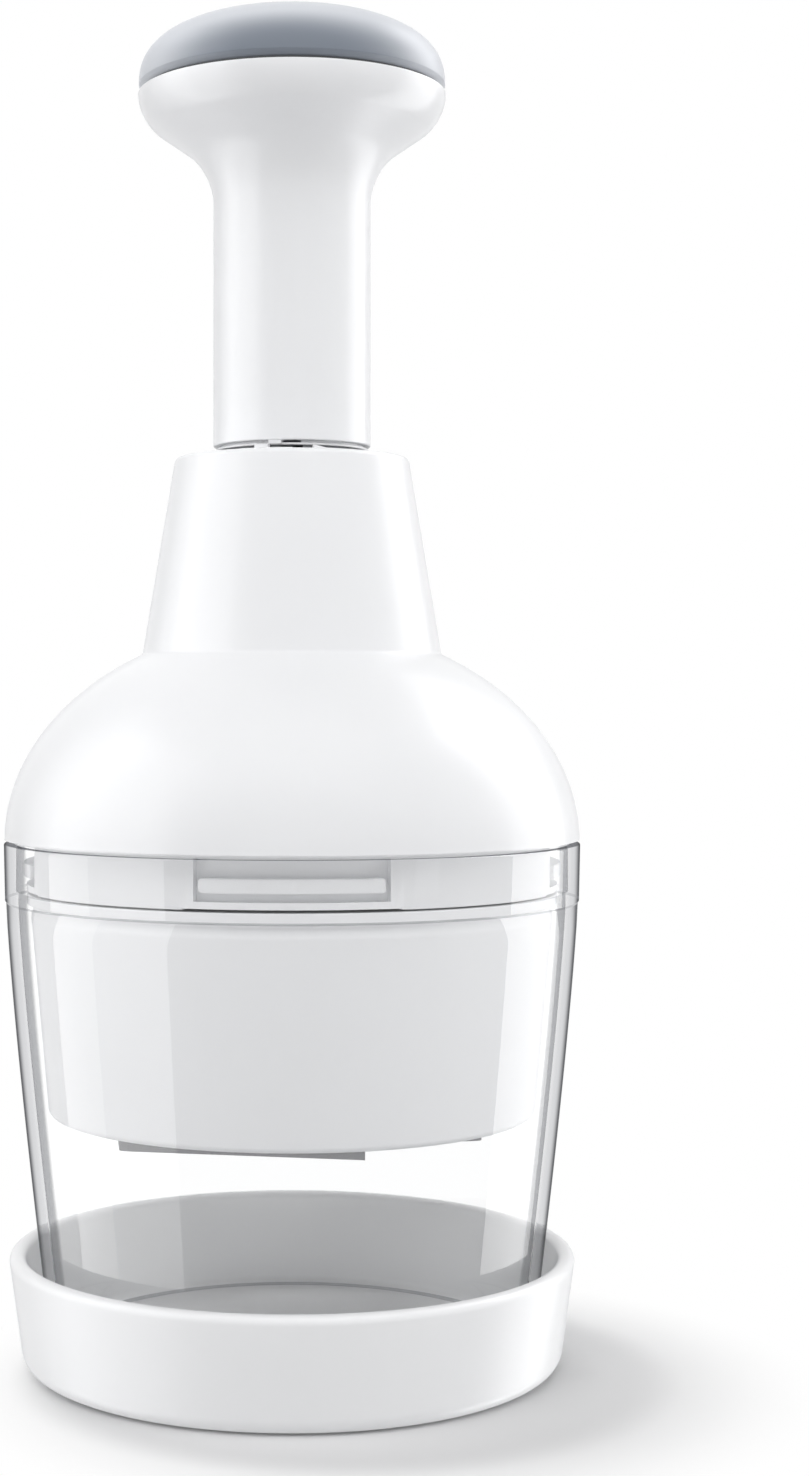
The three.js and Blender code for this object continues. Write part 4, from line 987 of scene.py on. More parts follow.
@dataclass
class DomedHousing:
    """Dome and neck in one shell, with the bore that guides the handle's barrel."""

    radius: float = 49.8
    rise: float = 37.8
    wall: float = 2.2
    crease_radius: float = 26.0
    neck_radius: float = 20.3
    bore_radius: float = 14.05
    bore_wall: float = 1.9
    bore_bottom: float = 115.0
    lid: float = 2.4
    screw_circle: float = 37.5
    boss_radius: float = 3.5
    lip_height: float = 0.5
    notch_turn: float = math.radians(7)
    block_turn: float = math.radians(-20)
    tooth_turn: float = math.radians(18.5)

    def arc(self, inset: float) -> list[Corner]:
        """Draws the dome's arc up to the crease, set in by a wall.

        Args:
            inset: The wall.

        Returns:
            The corners, from the rim up.
        """
        radius = self.radius - inset
        last = math.acos((self.crease_radius - inset) / radius)
        return swell(radius, self.rise - inset, HOUSING_BASE, last, 40)

    def outline(self) -> list[Corner]:
        """Draws the housing's section."""
        outside, inside = self.arc(0), self.arc(self.wall)
        edge, base = outside[0].r, outside[0].z
        cut = edge - 1.4
        groove = Corner(cut, base), Corner(cut, base + 0.4), Corner(edge, base + 0.4)
        crease = Corner(outside[-1].r, outside[-1].z, 0.8)
        bore_outer = self.bore_radius + self.bore_wall
        return [
            *groove,
            *outside[1:-1],
            crease,
            Corner(self.neck_radius, NECK_TOP, 1.1),
            Corner(self.bore_radius, NECK_TOP, 0.35),
            Corner(self.bore_radius, self.bore_bottom, 0.3),
            Corner(bore_outer, self.bore_bottom, 0.3),
            Corner(bore_outer, NECK_TOP - self.lid),
            Corner(self.neck_radius - self.wall, NECK_TOP - self.lid),
            *reversed(inside),
        ]

    def lip(self) -> Solid:
        """Makes the low lip round the mouth of the bore, with a raised block at the front."""
        inner, outer = self.bore_radius, self.bore_radius + 1.3
        lip = Solid.ring(inner, outer, NECK_TOP - 1.2, NECK_TOP + self.lip_height, 0.12)
        sweep = 2 * math.asin(2.2 / (2 * self.bore_radius))
        span = NECK_TOP - 1.2, NECK_TOP + 2 * self.lip_height
        middle = self.block_turn - math.pi / 2
        return lip.add(Solid.sector(inner - 0.15, outer, *span, sweep, middle))

    def notches(self) -> Solid:
        """Makes the cutters of the notches round the mouth of the bore."""
        sweep = 2 * math.asin(3.3 / (2 * self.bore_radius))
        inner, outer = self.bore_radius - 1.9, self.bore_radius + 1.3
        notch = Solid.sector(inner, outer, NECK_TOP - 0.3, NECK_TOP + OVERRUN, sweep, 0.0)
        return notch.round_copies(4, self.notch_turn)

    def tooth(self) -> Solid:
        """Makes the small sloping tooth on the lip beside the front notch."""
        sweep = 2 * math.asin(2.4 / (2 * self.bore_radius))
        angle = self.tooth_turn - math.pi / 2
        inner, outer = self.bore_radius + 0.35, self.bore_radius + 1.3
        span = NECK_TOP - self.lid, NECK_TOP + 2.2 * self.lip_height
        tooth = Solid.sector(inner, outer, *span, sweep, angle)
        low = [vert for vert in tooth.mesh.verts if vert.co.z > NECK_TOP]
        furthest = max(vert.co.x for vert in low)
        for vert in low:
            vert.co.z -= 0.75 * max(vert.co.x / furthest, 0.0) ** 3
        return tooth

    def bosses(self) -> Solid:
        """Makes the screw bosses that hang from the dome."""
        boss = Solid.rod(self.boss_radius, FRAME_TOP + SEAT_GAP, HOUSING_BASE + 28, 0.3)
        bosses = boss.shifted(self.screw_circle, 0, 0).round_copies(3, math.pi / 6)
        limit = [*self.arc(self.wall / 2), Corner(0, HOUSING_BASE + 31), Corner(0, HOUSING_BASE)]
        return bosses.worked(Solid.lathe(limit[::-1], ROUND_STEPS), Joining.KEEP)

    def build(self) -> Iterator[bpy.types.Object]:
        """Builds the housing."""
        shell = Solid.lathe(self.outline(), ROUND_STEPS + 32, 7)
        shell.add(self.bosses(), self.lip())
        pilot = Solid.rod(SCREW_HOLE_RADIUS, 89.6, 100.9, 0.1).shifted(self.screw_circle, 0, 0)
        shell.cut(pilot.round_copies(3, math.pi / 6), self.notches()).add(self.tooth())
        yield shell.piece("dome_and_neck", Body.HOUSING, WHITE, ["domed_housing"])


@dataclass
class InnerFrame:
    """Floor under the dome, with a skirt that stands in the cup and a collar for the guard."""

    skirt_radius: float = 45.95
    skirt_wall: float = 2.4
    skirt_bottom: float = 81.7
    underside: float = 89.6
    pocket_width: float = 31.0
    pocket_depth: float = 1.5
    pocket_bottom: float = 83.05
    pocket_top: float = 89.85
    bar_width: float = 29.2
    bar_bottom: float = 84.4
    bar_height: float = 2.4
    collar_radius: float = 30.2
    collar_wall: float = 2.2
    deck_underside: float = 79.8
    seal_hole: float = 4.75

    def outline(self) -> list[Corner]:
        """Draws the section of floor, skirt and collar."""
        inner = self.skirt_radius - self.skirt_wall
        collar_inner = self.collar_radius - self.collar_wall
        collar_bottom = self.deck_underside - SEAT_GAP - 1.6
        return [
            Corner(self.seal_hole, self.underside, 0.2),
            Corner(collar_inner, self.underside, 0.4),
            Corner(collar_inner, collar_bottom, 0.25),
            Corner(self.collar_radius, collar_bottom, 0.25),
            Corner(self.collar_radius, self.underside, 0.4),
            Corner(inner, self.underside, 0.5),
            Corner(inner, self.skirt_bottom, 0.2),
            Corner(self.skirt_radius, self.skirt_bottom, 0.22),
            Corner(self.skirt_radius, HOUSING_BASE + SEAT_GAP),
            Corner(47.3, HOUSING_BASE + SEAT_GAP, 0.2),
            Corner(47.3, FRAME_TOP, 0.3),
            Corner(self.seal_hole, FRAME_TOP, 0.2),
        ]

    def pockets(self) -> Solid:
        """Makes the cutters of the four pockets in the skirt."""
        sweep = 2 * math.asin(self.pocket_width / (2 * self.skirt_radius))
        inner, outer = self.skirt_radius - self.pocket_depth, self.skirt_radius + OVERRUN
        span = self.pocket_bottom, self.pocket_top
        pocket = Solid.sector(inner, outer, *span, sweep, -math.pi / 2, 40)
        return pocket.round_copies(4)

    def reliefs(self) -> Solid:
        """Makes the cutters that widen the joint with the guard under each pocket."""
        sweep = 2 * math.asin(self.pocket_width * 1.12 / (2 * self.skirt_radius))
        inner, outer = self.skirt_radius - self.skirt_wall - 1, self.skirt_radius + OVERRUN
        span = self.skirt_bottom - 1, self.skirt_bottom + 0.22
        relief = Solid.sector(inner, outer, *span, sweep, -math.pi / 2, 40)
        return relief.round_copies(4)

    def bars(self) -> Solid:
        """Makes the four lug bars, with rounded ends and rounded edges on the outer face."""
        sweep = 2 * math.asin(self.bar_width / (2 * self.skirt_radius))
        inner, outer = self.skirt_radius - self.pocket_depth - 0.6, self.skirt_radius + 0.6
        span = self.bar_bottom, self.bar_bottom + self.bar_height
        bar = Solid.sector(inner, outer, *span, sweep, -math.pi / 2, 40)
        ends = [edge for edge in bar.mesh.edges if self._is_end(edge, sweep)]
        bar.ease(ends, 0.7, 5)
        front = [edge for edge in bar.mesh.edges if self._is_front(edge, outer)]
        bar.ease(front, 0.3, 3)
        return bar.round_copies(4)

    def _is_end(self, edge: bmesh.types.BMEdge, sweep: float) -> bool:
        """Tells whether an edge runs outwards at an end of the bar."""
        way = edge.verts[1].co - edge.verts[0].co
        middle = (edge.verts[1].co + edge.verts[0].co) / 2
        off = abs(math.atan2(middle.y, middle.x) + math.pi / 2)
        return abs(way.z) < 0.01 and way.length > 1.5 and abs(off - sweep / 2) < 0.002

    def _is_front(self, edge: bmesh.types.BMEdge, outer: float) -> bool:
        """Tells whether an edge bounds the outer face of the bar."""
        on_face = all(vert.co.xy.length > outer - 0.01 for vert in edge.verts)
        return on_face and edge.calc_face_angle(0.0) > 0.6

    def tabs(self) -> Solid:
        """Makes the three bayonet tabs under the guard's deck."""
        top = self.deck_underside - SEAT_GAP
        inner = self.collar_radius - self.collar_wall / 2
        tab = Solid.sector(inner, self.collar_radius + 3.4, top - 1.6, top, math.pi / 10, 0.0)
        return tab.round_copies(3)

    def bosses(self) -> Solid:
        """Makes the three bosses for the tower's screws."""
        boss = Solid.rod(3.5, self.underside - 5, self.underside + 1.25, 0.3)
        return boss.shifted(16, 0, 0).round_copies(3, math.pi / 2)

    def build(self) -> Iterator[bpy.types.Object]:
        """Builds the frame."""
        body = Solid.lathe(self.outline(), ROUND_STEPS + 32, 3)
        body.cut(self.pockets(), self.reliefs())
        body.add(self.bars(), self.tabs(), self.bosses())
        hole = Solid.rod(SCREW_HOLE_RADIUS, self.underside - 11, FRAME_TOP + OVERRUN, 0.1)
        outer = hole.copy().shifted(37.5, 0, 0).round_copies(3, math.pi / 6)
        inner = hole.shifted(16, 0, 0).round_copies(3, math.pi / 2)
        body.cut(Solid.gathered([outer, inner]))
        yield body.piece("skirt_frame", Body.HOUSING, SATIN, ["inner_frame"], 0.12)


@dataclass
class BladeGuard:
    """Tapered guard round the blade, hung on the frame's collar by a bayonet deck."""

    top: float = 81.4
    bottom: float = 43.2
    top_radius: float = 45.2
    bottom_radius: float = 42.15
    collar_radius: float = 45.95
    wall: float = 1.8
    deck: float = 1.6
    hole_radius: float = 30.55

    def outline(self) -> list[Corner]:
        """Draws the guard's section."""
        under_deck = self.top - self.deck
        return [
            Corner(self.bottom_radius, self.bottom, 1.2),
            Corner(self.top_radius, self.top - 4.0, 2.0),
            Corner(self.top_radius - 0.5, self.top - 2.0, 0.3),
            Corner(self.collar_radius, self.top - 1.8, 0.25),
            Corner(self.collar_radius, self.top, 0.25),
            Corner(self.hole_radius, self.top, 0.3),
            Corner(self.hole_radius, under_deck, 0.2),
            Corner(self.top_radius - self.wall, under_deck, 0.6),
            Corner(self.bottom_radius - self.wall, self.bottom, 0.3),
        ]

    def build(self) -> Iterator[bpy.types.Object]:
        """Builds the guard."""
        under_deck = self.top - self.deck
        side_gap = math.pi / 90
        sweep = math.pi / 10 + 2 * side_gap
        reach = self.hole_radius + 3.4
        notch = Solid.sector(28.0, reach, under_deck - OVERRUN, self.top + OVERRUN, sweep, 0.0)
        stop_sweep = math.pi / 60
        stop_middle = math.pi / 20 + side_gap + stop_sweep / 2
        span = under_deck - 1.1, under_deck + 0.8
        stop = Solid.sector(self.hole_radius, reach, *span, stop_sweep, stop_middle, 4)
        guard = Solid.lathe(self.outline(), ROUND_STEPS + 32, 6)
        guard.cut(notch.round_copies(3, -math.pi / 6)).add(stop.round_copies(3))
        yield guard.piece("guard_shell", Body.GUARD, SATIN, ["blade_guard"])


@dataclass
class GuideTower:
    """Keyed tube that guides the barrel and holds the spring, with what it carries."""

    radius: float = 11.4
    inner: float = 9.9
    flange_radius: float = 20.0
    flange: float = 2.4
    base: float = 92.4
    top: float = 160.9
    ledge_top: float = 137.7
    ledge_bottom: float = 136.1
    ledge_radius: float = 8.3
    slot_width: float = 3.7
    pin_z: float = 132.9

    def outline(self) -> list[Corner]:
        """Draws the tower's section."""
        return [
            Corner(self.inner, self.base, 0.3),
            Corner(self.flange_radius, self.base, 0.2),
            Corner(self.flange_radius, self.base + self.flange, 0.4),
            Corner(self.radius, self.base + self.flange, 0.6),
            Corner(self.radius, self.top, 0.3),
            Corner(self.inner, self.top, 0.3),
            Corner(self.inner, self.ledge_top, 0.1),
            Corner(self.ledge_radius, self.ledge_top, 0.1),
            Corner(self.ledge_radius, self.ledge_bottom, 0.1),
            Corner(self.inner, self.ledge_bottom, 0.1),
        ]

    def build(self) -> Iterator[bpy.types.Object]:
        """Builds the tower, the spring seat, the seal and the index pins."""
        tower = Solid.lathe(self.outline(), 96, 4)
        bottom = BARREL_BOTTOM - STROKE - 0.35
        middle_z = (bottom + self.top + OVERRUN) / 2
        size = (self.slot_width, 2.2, self.top + OVERRUN - bottom)
        slot = Solid.bar(size, (0, -(self.radius + self.inner) / 2, middle_z))
        hole = Solid.rod(1.05, self.ledge_radius, self.radius + OVERRUN, 0.05).turned(math.pi / 2, "Y")
        screw = Solid.rod(SCREW_HOLE_RADIUS, self.base - 3, self.base + 6, 0.05).shifted(16, 0, 0)
        tower.cut(slot.round_copies(2), hole.shifted(0, 0, self.pin_z).round_copies(2))
        tower.cut(screw.round_copies(3, math.pi / 2))
        yield tower.piece("tower_tube", Body.HOUSING, GREY, ["guide_tower"], 0.1)
        seat = Solid.ring(7.35, 9.6, self.ledge_top + SEAT_GAP, self.ledge_top + SEAT_GAP + 1, 0.12)
        yield seat.piece("seat_washer", Body.HOUSING, PLAIN_STEEL, ["spring_seat"])
        yield self.seal().piece("wiper_seal", Body.HOUSING, RUBBER, ["spindle_seal"])
        pin = Solid.rod(0.75, 6.2, self.radius - SEAT_GAP, 0.15).turned(math.pi / 2, "Y")
        pin.shifted(0, 0, self.pin_z)
        for index in range(2):
            turned = pin.copy().turned(math.pi * index)
            node = f"index_pin_{index + 1}"
            yield turned.piece(f"track_pin_{index + 1}", Body.HOUSING, PLAIN_STEEL, [node])

    def seal(self) -> Solid:
        """Turns the rubber seal in the frame's floor."""
        corners = [
            Corner(3.35, 88.1, 0.2),
            Corner(6.65, 88.1, 0.2),
            Corner(6.65, 89.3, 0.2),
            Corner(4.45, 89.3),
            Corner(4.45, FRAME_TOP, 0.2),
            Corner(3.35, FRAME_TOP, 0.3),
        ]
        return Solid.lathe(corners, SMALL_STEPS * 2, 3)


@dataclass
class PanScrews:
    """Pan-head screws with a cross recess, three for the frame and three for the tower."""

    radius: float = 1.25
    head_radius: float = 2.6
    head_height: float = 1.9

    def screw(self, length: float) -> Solid:
        """Turns a screw that points down, with the seat of its head at zero.

        Args:
            length: Length under the head.

        Returns:
            The screw.
        """
        shank = [Corner(0, -length), Corner(0.45, -length + 0.1), Corner(0.95, -length + 0.9)]
        depth = length - 1.6
        turns = round(depth / 0.55)
        for index in range(turns):
            low = -length + 1.0 + depth * index / turns
            shank.append(Corner(0.95, low))
            shank.append(Corner(self.radius, low + depth / turns * 0.45))
        corners = [
            *shank,
            Corner(0.95, -0.5),
            Corner(self.radius, SEAT_GAP),
            Corner(self.head_radius, SEAT_GAP, 0.2),
            Corner(self.head_radius, self.head_height, 0.9),
            Corner(0, self.head_height),
        ]
        screw = Solid.lathe(corners, 32, 4)
        arm = Solid.bar((2.6, 0.55, 2.4), (0, 0, self.head_height + 0.2))
        cross = arm.copy().add(arm.turned(math.pi / 2))
        return screw.cut(cross)

    def build(self) -> Iterator[bpy.types.Object]:
        """Builds the six screws."""
        kinds = (
            ("frame_screw", 11.0, 37.5, math.pi / 6, 89.6, math.pi),
            ("tower_screw", 7.0, 16.0, math.pi / 2, 94.8, 0.0),
        )
        for kind, length, circle, first, height, tip in kinds:
            screw = self.screw(length).turned(tip, "X")
            for index in range(3):
                angle = first + math.tau * index / 3
                place = (circle * math.cos(angle), circle * math.sin(angle), height)
                node = f"{kind}_{index + 1}"
                placed = screw.copy().shifted(*place)
                yield placed.piece(f"pan_{node}", Body.HOUSING, PLAIN_STEEL, [node])


@dataclass
class ReturnSpring:
    """Return spring of round wire with closed end turns."""

    wire: float = 0.7
    mean_radius: float = 8.6
    foot: float = 139.3
    head: float = 200.7
    turns: int = 12
    end_pitch: float = 1.6

    def build(self) -> Iterator[bpy.types.Object]:
        """Winds the spring."""
        mesh = bmesh.new()
        stand = Matrix.Translation((self.mean_radius, 0, self.foot + self.wire))
        upright = stand @ Matrix.Rotation(math.pi / 2, 4, "X")
        bmesh.ops.create_circle(mesh, cap_ends=True, segments=12, radius=self.wire, matrix=upright)
        face = mesh.faces[:]
        climb = self.head - self.foot - 2 * self.wire
        middle_pitch = (climb - 2 * self.end_pitch) / (self.turns - 2)
        stretches = ((1, self.end_pitch), (self.turns - 2, middle_pitch), (1, self.end_pitch))
        for turns, pitch in stretches:
            steps = 32 * turns
            made = bmesh.ops.spin(
                mesh,
                geom=face,
                cent=ORIGIN,
                dvec=(0, 0, pitch * turns / steps),
                axis=UP,
                angle=math.tau * turns,
                steps=steps,
            )
            face = [item for item in made["geom_last"] if isinstance(item, bmesh.types.BMFace)]
        spring = Solid(mesh).closed()
        piece = spring.piece("coil_spring", Body.HOUSING, PLAIN_STEEL, ["return_spring"])
        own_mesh(piece)
        yield piece


@dataclass
class Handle:
    """Barrel, flare and knob in one, closed by a plug under the grip pad."""

    barrel_radius: float = 13.7
    barrel_inner: float = 11.8
    groove: float = 1.3
    sleeve: float = 0.8
    flare_z: float = 206.7
    flare_round: float = 11.0
    knob_radius: float = 26.8
    shoulder_z: float = 215.8
    shoulder_round: float = 7.3
    knob_top: float = 219.7
    knob_wall: float = 2.4
    ceiling: float = 3.2
    pad_radius: float = 26.65
    pad_height: float = 13.3
    pad_wall: float = 3.2
    pad_power: float = 0.8

    def outline(self) -> list[Corner]:
        """Draws the handle's section."""
        hole = 5.75
        cavity = self.knob_radius - self.knob_wall
        return [
            Corner(self.barrel_radius - self.groove, BARREL_BOTTOM - self.sleeve / 2),
            Corner(self.barrel_radius - self.groove, BARREL_BOTTOM),
            Corner(self.barrel_radius, BARREL_BOTTOM, 0.25),
            Corner(self.barrel_radius, self.flare_z, self.flare_round),
            Corner(self.knob_radius, self.shoulder_z, self.shoulder_round),
            Corner(self.knob_radius, self.knob_top, 0.3),
            Corner(cavity, self.knob_top, 0.2),
            Corner(cavity, self.shoulder_z, 5),
            Corner(self.barrel_inner, 209.6, 5),
            Corner(self.barrel_inner, CEILING_Z + self.ceiling),
            Corner(hole, CEILING_Z + self.ceiling, 0.2),
            Corner(hole, CEILING_Z, 0.2),
            Corner(self.barrel_inner, CEILING_Z),
            Corner(self.barrel_inner, BARREL_BOTTOM - self.sleeve, 0.12),
            Corner(self.barrel_radius - 0.5, BARREL_BOTTOM - self.sleeve, 0.12),
            Corner(self.barrel_radius - 0.5, BARREL_BOTTOM - self.sleeve / 2, 0.1),
        ]

    def window(self) -> Solid:
        """Makes the cutter of the small window in the groove."""
        span = BARREL_BOTTOM - self.sleeve / 2, BARREL_BOTTOM
        middle = -math.pi / 2
        return Solid.sector(self.barrel_inner - 1, self.barrel_radius - 1, *span, 0.25, middle)

    def rib(self) -> Solid:
        """Makes the short rib that bridges the groove beside the window."""
        span = BARREL_BOTTOM - self.sleeve * 0.75, BARREL_BOTTOM + 0.5
        inner, outer = self.barrel_radius - 1.5, self.barrel_radius - 0.15
        return Solid.sector(inner, outer, *span, 0.165, -math.pi / 2 - 0.216)

    def pad(self) -> Solid:
        """Turns the grip pad with the narrow bevel at its lower edge."""
        base = self.knob_top + SEAT_GAP * 1.8
        rise = self.pad_height - 1.3
        outside = swell(self.pad_radius, rise, base + 1, steps=48, power=self.pad_power)
        outside[0] = Corner(outside[0].r, outside[0].z, 0.18)
        inner, rise = self.pad_radius - self.pad_wall, self.pad_height - self.pad_wall
        inside = swell(inner, rise, base, steps=30, power=self.pad_power)
        rim = Corner(self.pad_radius - 1, base, 0.1)
        return Solid.lathe([*reversed(outside), rim, *inside], ROUND_STEPS, 3)

    def plug(self) -> Solid:
        """Turns the plug that closes the knob."""
        bottom, top, wall = self.knob_top - 2.4, self.knob_top + 2.0, 1.8
        outer = self.knob_radius - self.knob_wall - SEAT_GAP
        spigot = self.pad_radius - self.pad_wall - 2 * SEAT_GAP
        corners = [
            Corner(0, bottom),
            Corner(outer, bottom, 0.3),
            Corner(outer, self.knob_top, 0.2),
            Corner(spigot, self.knob_top),
            Corner(spigot, top, 0.4),
            Corner(spigot - wall, top, 0.3),
            Corner(spigot - wall, bottom + wall, 0.5),
            Corner(0, bottom + wall),
        ]
        return Solid.lathe(corners, 96, 3)

    def bush(self) -> Solid:
        """Turns the flanged bush for the spindle."""
        top = CEILING_Z + self.ceiling + SEAT_GAP + 1.5
        corners = [
            Corner(3.35, CEILING_Z, 0.2),
            Corner(5.45, CEILING_Z, 0.2),
            Corner(5.45, top - 1.5),
            Corner(7.85, top - 1.5, 0.2),
            Corner(7.85, top, 0.3),
            Corner(3.35, top, 0.2),
        ]
        return Solid.lathe(corners, SMALL_STEPS * 2, 3)

    def build(self) -> Iterator[bpy.types.Object]:
        """Builds the handle, plug, pad, bush and cushion ring, and a dark ring in the pad's seam that is
        painted shade for the gap.
        """
        handle = Solid.lathe(self.outline(), ROUND_STEPS, 14)
        depth, height = 1.5 + 0.95, 9.0
        middle = (0, 1.5 - self.barrel_inner - depth / 2, BARREL_BOTTOM + 0.5 + height / 2)
        key = Solid.bar((3.0, depth, height), middle, 0.2)
        handle.add(key.round_copies(2), self.rib()).cut(self.window())
        yield handle.piece("barrel_and_knob", Body.PLUNGER, WHITE, ["handle"])
        yield self.plug().piece("knob_cap", Body.PLUNGER, WHITE, ["knob_plug"])
        yield self.pad().piece("soft_pad", Body.PLUNGER, GRIP, ["grip_pad"])
        # Painted shade: a dark rubber ring fills the seam under the pad, standing for the shade in the
        # gap.
        span = self.knob_top, self.knob_top + SEAT_GAP * 1.8
        seam_shade = Solid.ring(self.pad_radius - 2.0, self.pad_radius - 0.75, *span, 0.05)
        yield seam_shade.piece("seam_shade_ring", Body.PLUNGER, RUBBER)
        yield self.bush().piece("flanged_bush", Body.PLUNGER, GREY, ["spindle_bush"])
        top = CEILING_Z - SEAT_GAP
        cushion = Solid.ring(9.7, 11.5, top - 2, top, 0.4)
        yield cushion.piece("stop_cushion", Body.PLUNGER, RUBBER, ["cushion_ring"])


@dataclass
class Spindle:
    """Steel spindle with its index drum, washer, nut and cross pins."""

    radius: float = 3.0
    bottom: float = 62.6
    top: float = 210.3
    drum_radius: float = 7.0
    drum_bottom: float = 129.9
    drum_top: float = 177.0
    track_z: float = 132.9
    track_width: float = 2.0
    track_depth: float = 1.1
    legs: int = 12
    nut_bottom: float = 207.6
    nut_height: float = 3.6
    drum_pin_z: float = 174.75
    carrier_pin_z: float = 66.3

    def leg(self, index: int) -> Solid:
        """Sweeps the cutter of one leg of the zigzag track.

        Args:
            index: Which leg, counted round the drum.

        Returns:
            The cutter.
        """
        mesh = bmesh.new()
        half = self.track_width / 2
        inner, outer = self.drum_radius - self.track_depth, self.drum_radius + 3
        low = self.track_z - half
        places = ((inner, -half), (outer, -half), (outer, half), (inner, half))
        face = mesh.faces.new([mesh.verts.new((x, y, low)) for x, y in places])
        steps = 20
        climb = STROKE + self.track_width
        step_angle = math.tau / self.legs
        rising = index % 2
        sweep = step_angle * climb / STROKE * (1 if rising else -1)
        start = -(index + rising) * step_angle - sweep * half / climb
        turn = Matrix.Rotation(start, 3, "Z")
        bmesh.ops.rotate(mesh, verts=mesh.verts, cent=ORIGIN, matrix=turn)
        rise = (0, 0, climb / steps)
        bmesh.ops.spin(mesh, geom=[face], cent=ORIGIN, dvec=rise, axis=UP, angle=sweep, steps=steps)
        return Solid(mesh).closed()

    def drum(self) -> Solid:
        """Turns the drum and cuts its track."""
        drum = Solid.ring(self.radius + SEAT_GAP, self.drum_radius, self.drum_bottom, self.drum_top, 0.3)
        for parity in range(2):
            drum.cut(Solid.gathered(self.leg(index) for index in range(parity, self.legs, 2)))
        return drum.cut(self.cross_hole(self.drum_radius + OVERRUN, self.drum_pin_z))

    def cross_hole(self, reach: float, height: float) -> Solid:
        """Makes the cutter of a cross pin's hole."""
        return Solid.rod(1.3, -reach, reach, 0.05).turned(math.pi / 2, "Y").shifted(0, 0, height)

    def cross_pin(self, reach: float, height: float) -> Solid:
        """Makes a cross pin."""
        return Solid.rod(1.0, -reach, reach, 0.2).turned(math.pi / 2, "Y").shifted(0, 0, height)

    def nut(self) -> Solid:
        """Makes the hexagon nut with chamfered corners."""
        mesh = bmesh.new()
        ends = {"cap_ends": True, "segments": 6, "radius1": 4.8, "radius2": 4.8}
        bmesh.ops.create_cone(mesh, depth=self.nut_height, **ends)
        middle = self.nut_bottom + self.nut_height / 2
        nut = Solid(mesh).shifted(0, 0, middle)
        top = self.nut_bottom + self.nut_height
        corners = [
            Corner(0, self.nut_bottom),
            Corner(4.3, self.nut_bottom),
            Corner(4.85, self.nut_bottom + 0.4),
            Corner(4.85, top - 0.4),
            Corner(4.3, top),
            Corner(0, top),
        ]
        nut.worked(Solid.lathe(corners, SMALL_STEPS), Joining.KEEP)
        return nut.cut(Solid.rod(3.3, self.nut_bottom - OVERRUN, top + OVERRUN, 0.1))

    def build(self) -> Iterator[bpy.types.Object]:
        """Builds the spindle and what is fixed to it."""
        rod = Solid.rod(self.radius, self.bottom, self.top, 0.4)
        rod.cut(self.cross_hole(OVERRUN, self.drum_pin_z), self.cross_hole(OVERRUN, self.carrier_pin_z))
        yield rod.piece("spindle_rod", Body.BLADE, PLAIN_STEEL, ["spindle"])
        yield self.drum().piece("zigzag_drum", Body.BLADE, GREY, ["index_drum"], 0.08)
        pin = self.cross_pin(self.drum_radius - SEAT_GAP, self.drum_pin_z)
        yield pin.piece("drum_cross_pin", Body.BLADE, PLAIN_STEEL, ["drum_pin"])
        washer = Solid.ring(3.3, 6.2, 206.3, 207.3, 0.15)
        yield washer.piece("plain_washer", Body.BLADE, PLAIN_STEEL, ["thrust_washer"])
        yield self.nut().piece("hexagon_nut", Body.BLADE, PLAIN_STEEL, ["spindle_nut"], 0.08)
        pin = self.cross_pin(8.2, self.carrier_pin_z)
        yield pin.piece("hub_cross_pin", Body.BLADE, PLAIN_STEEL, ["carrier_pin"])


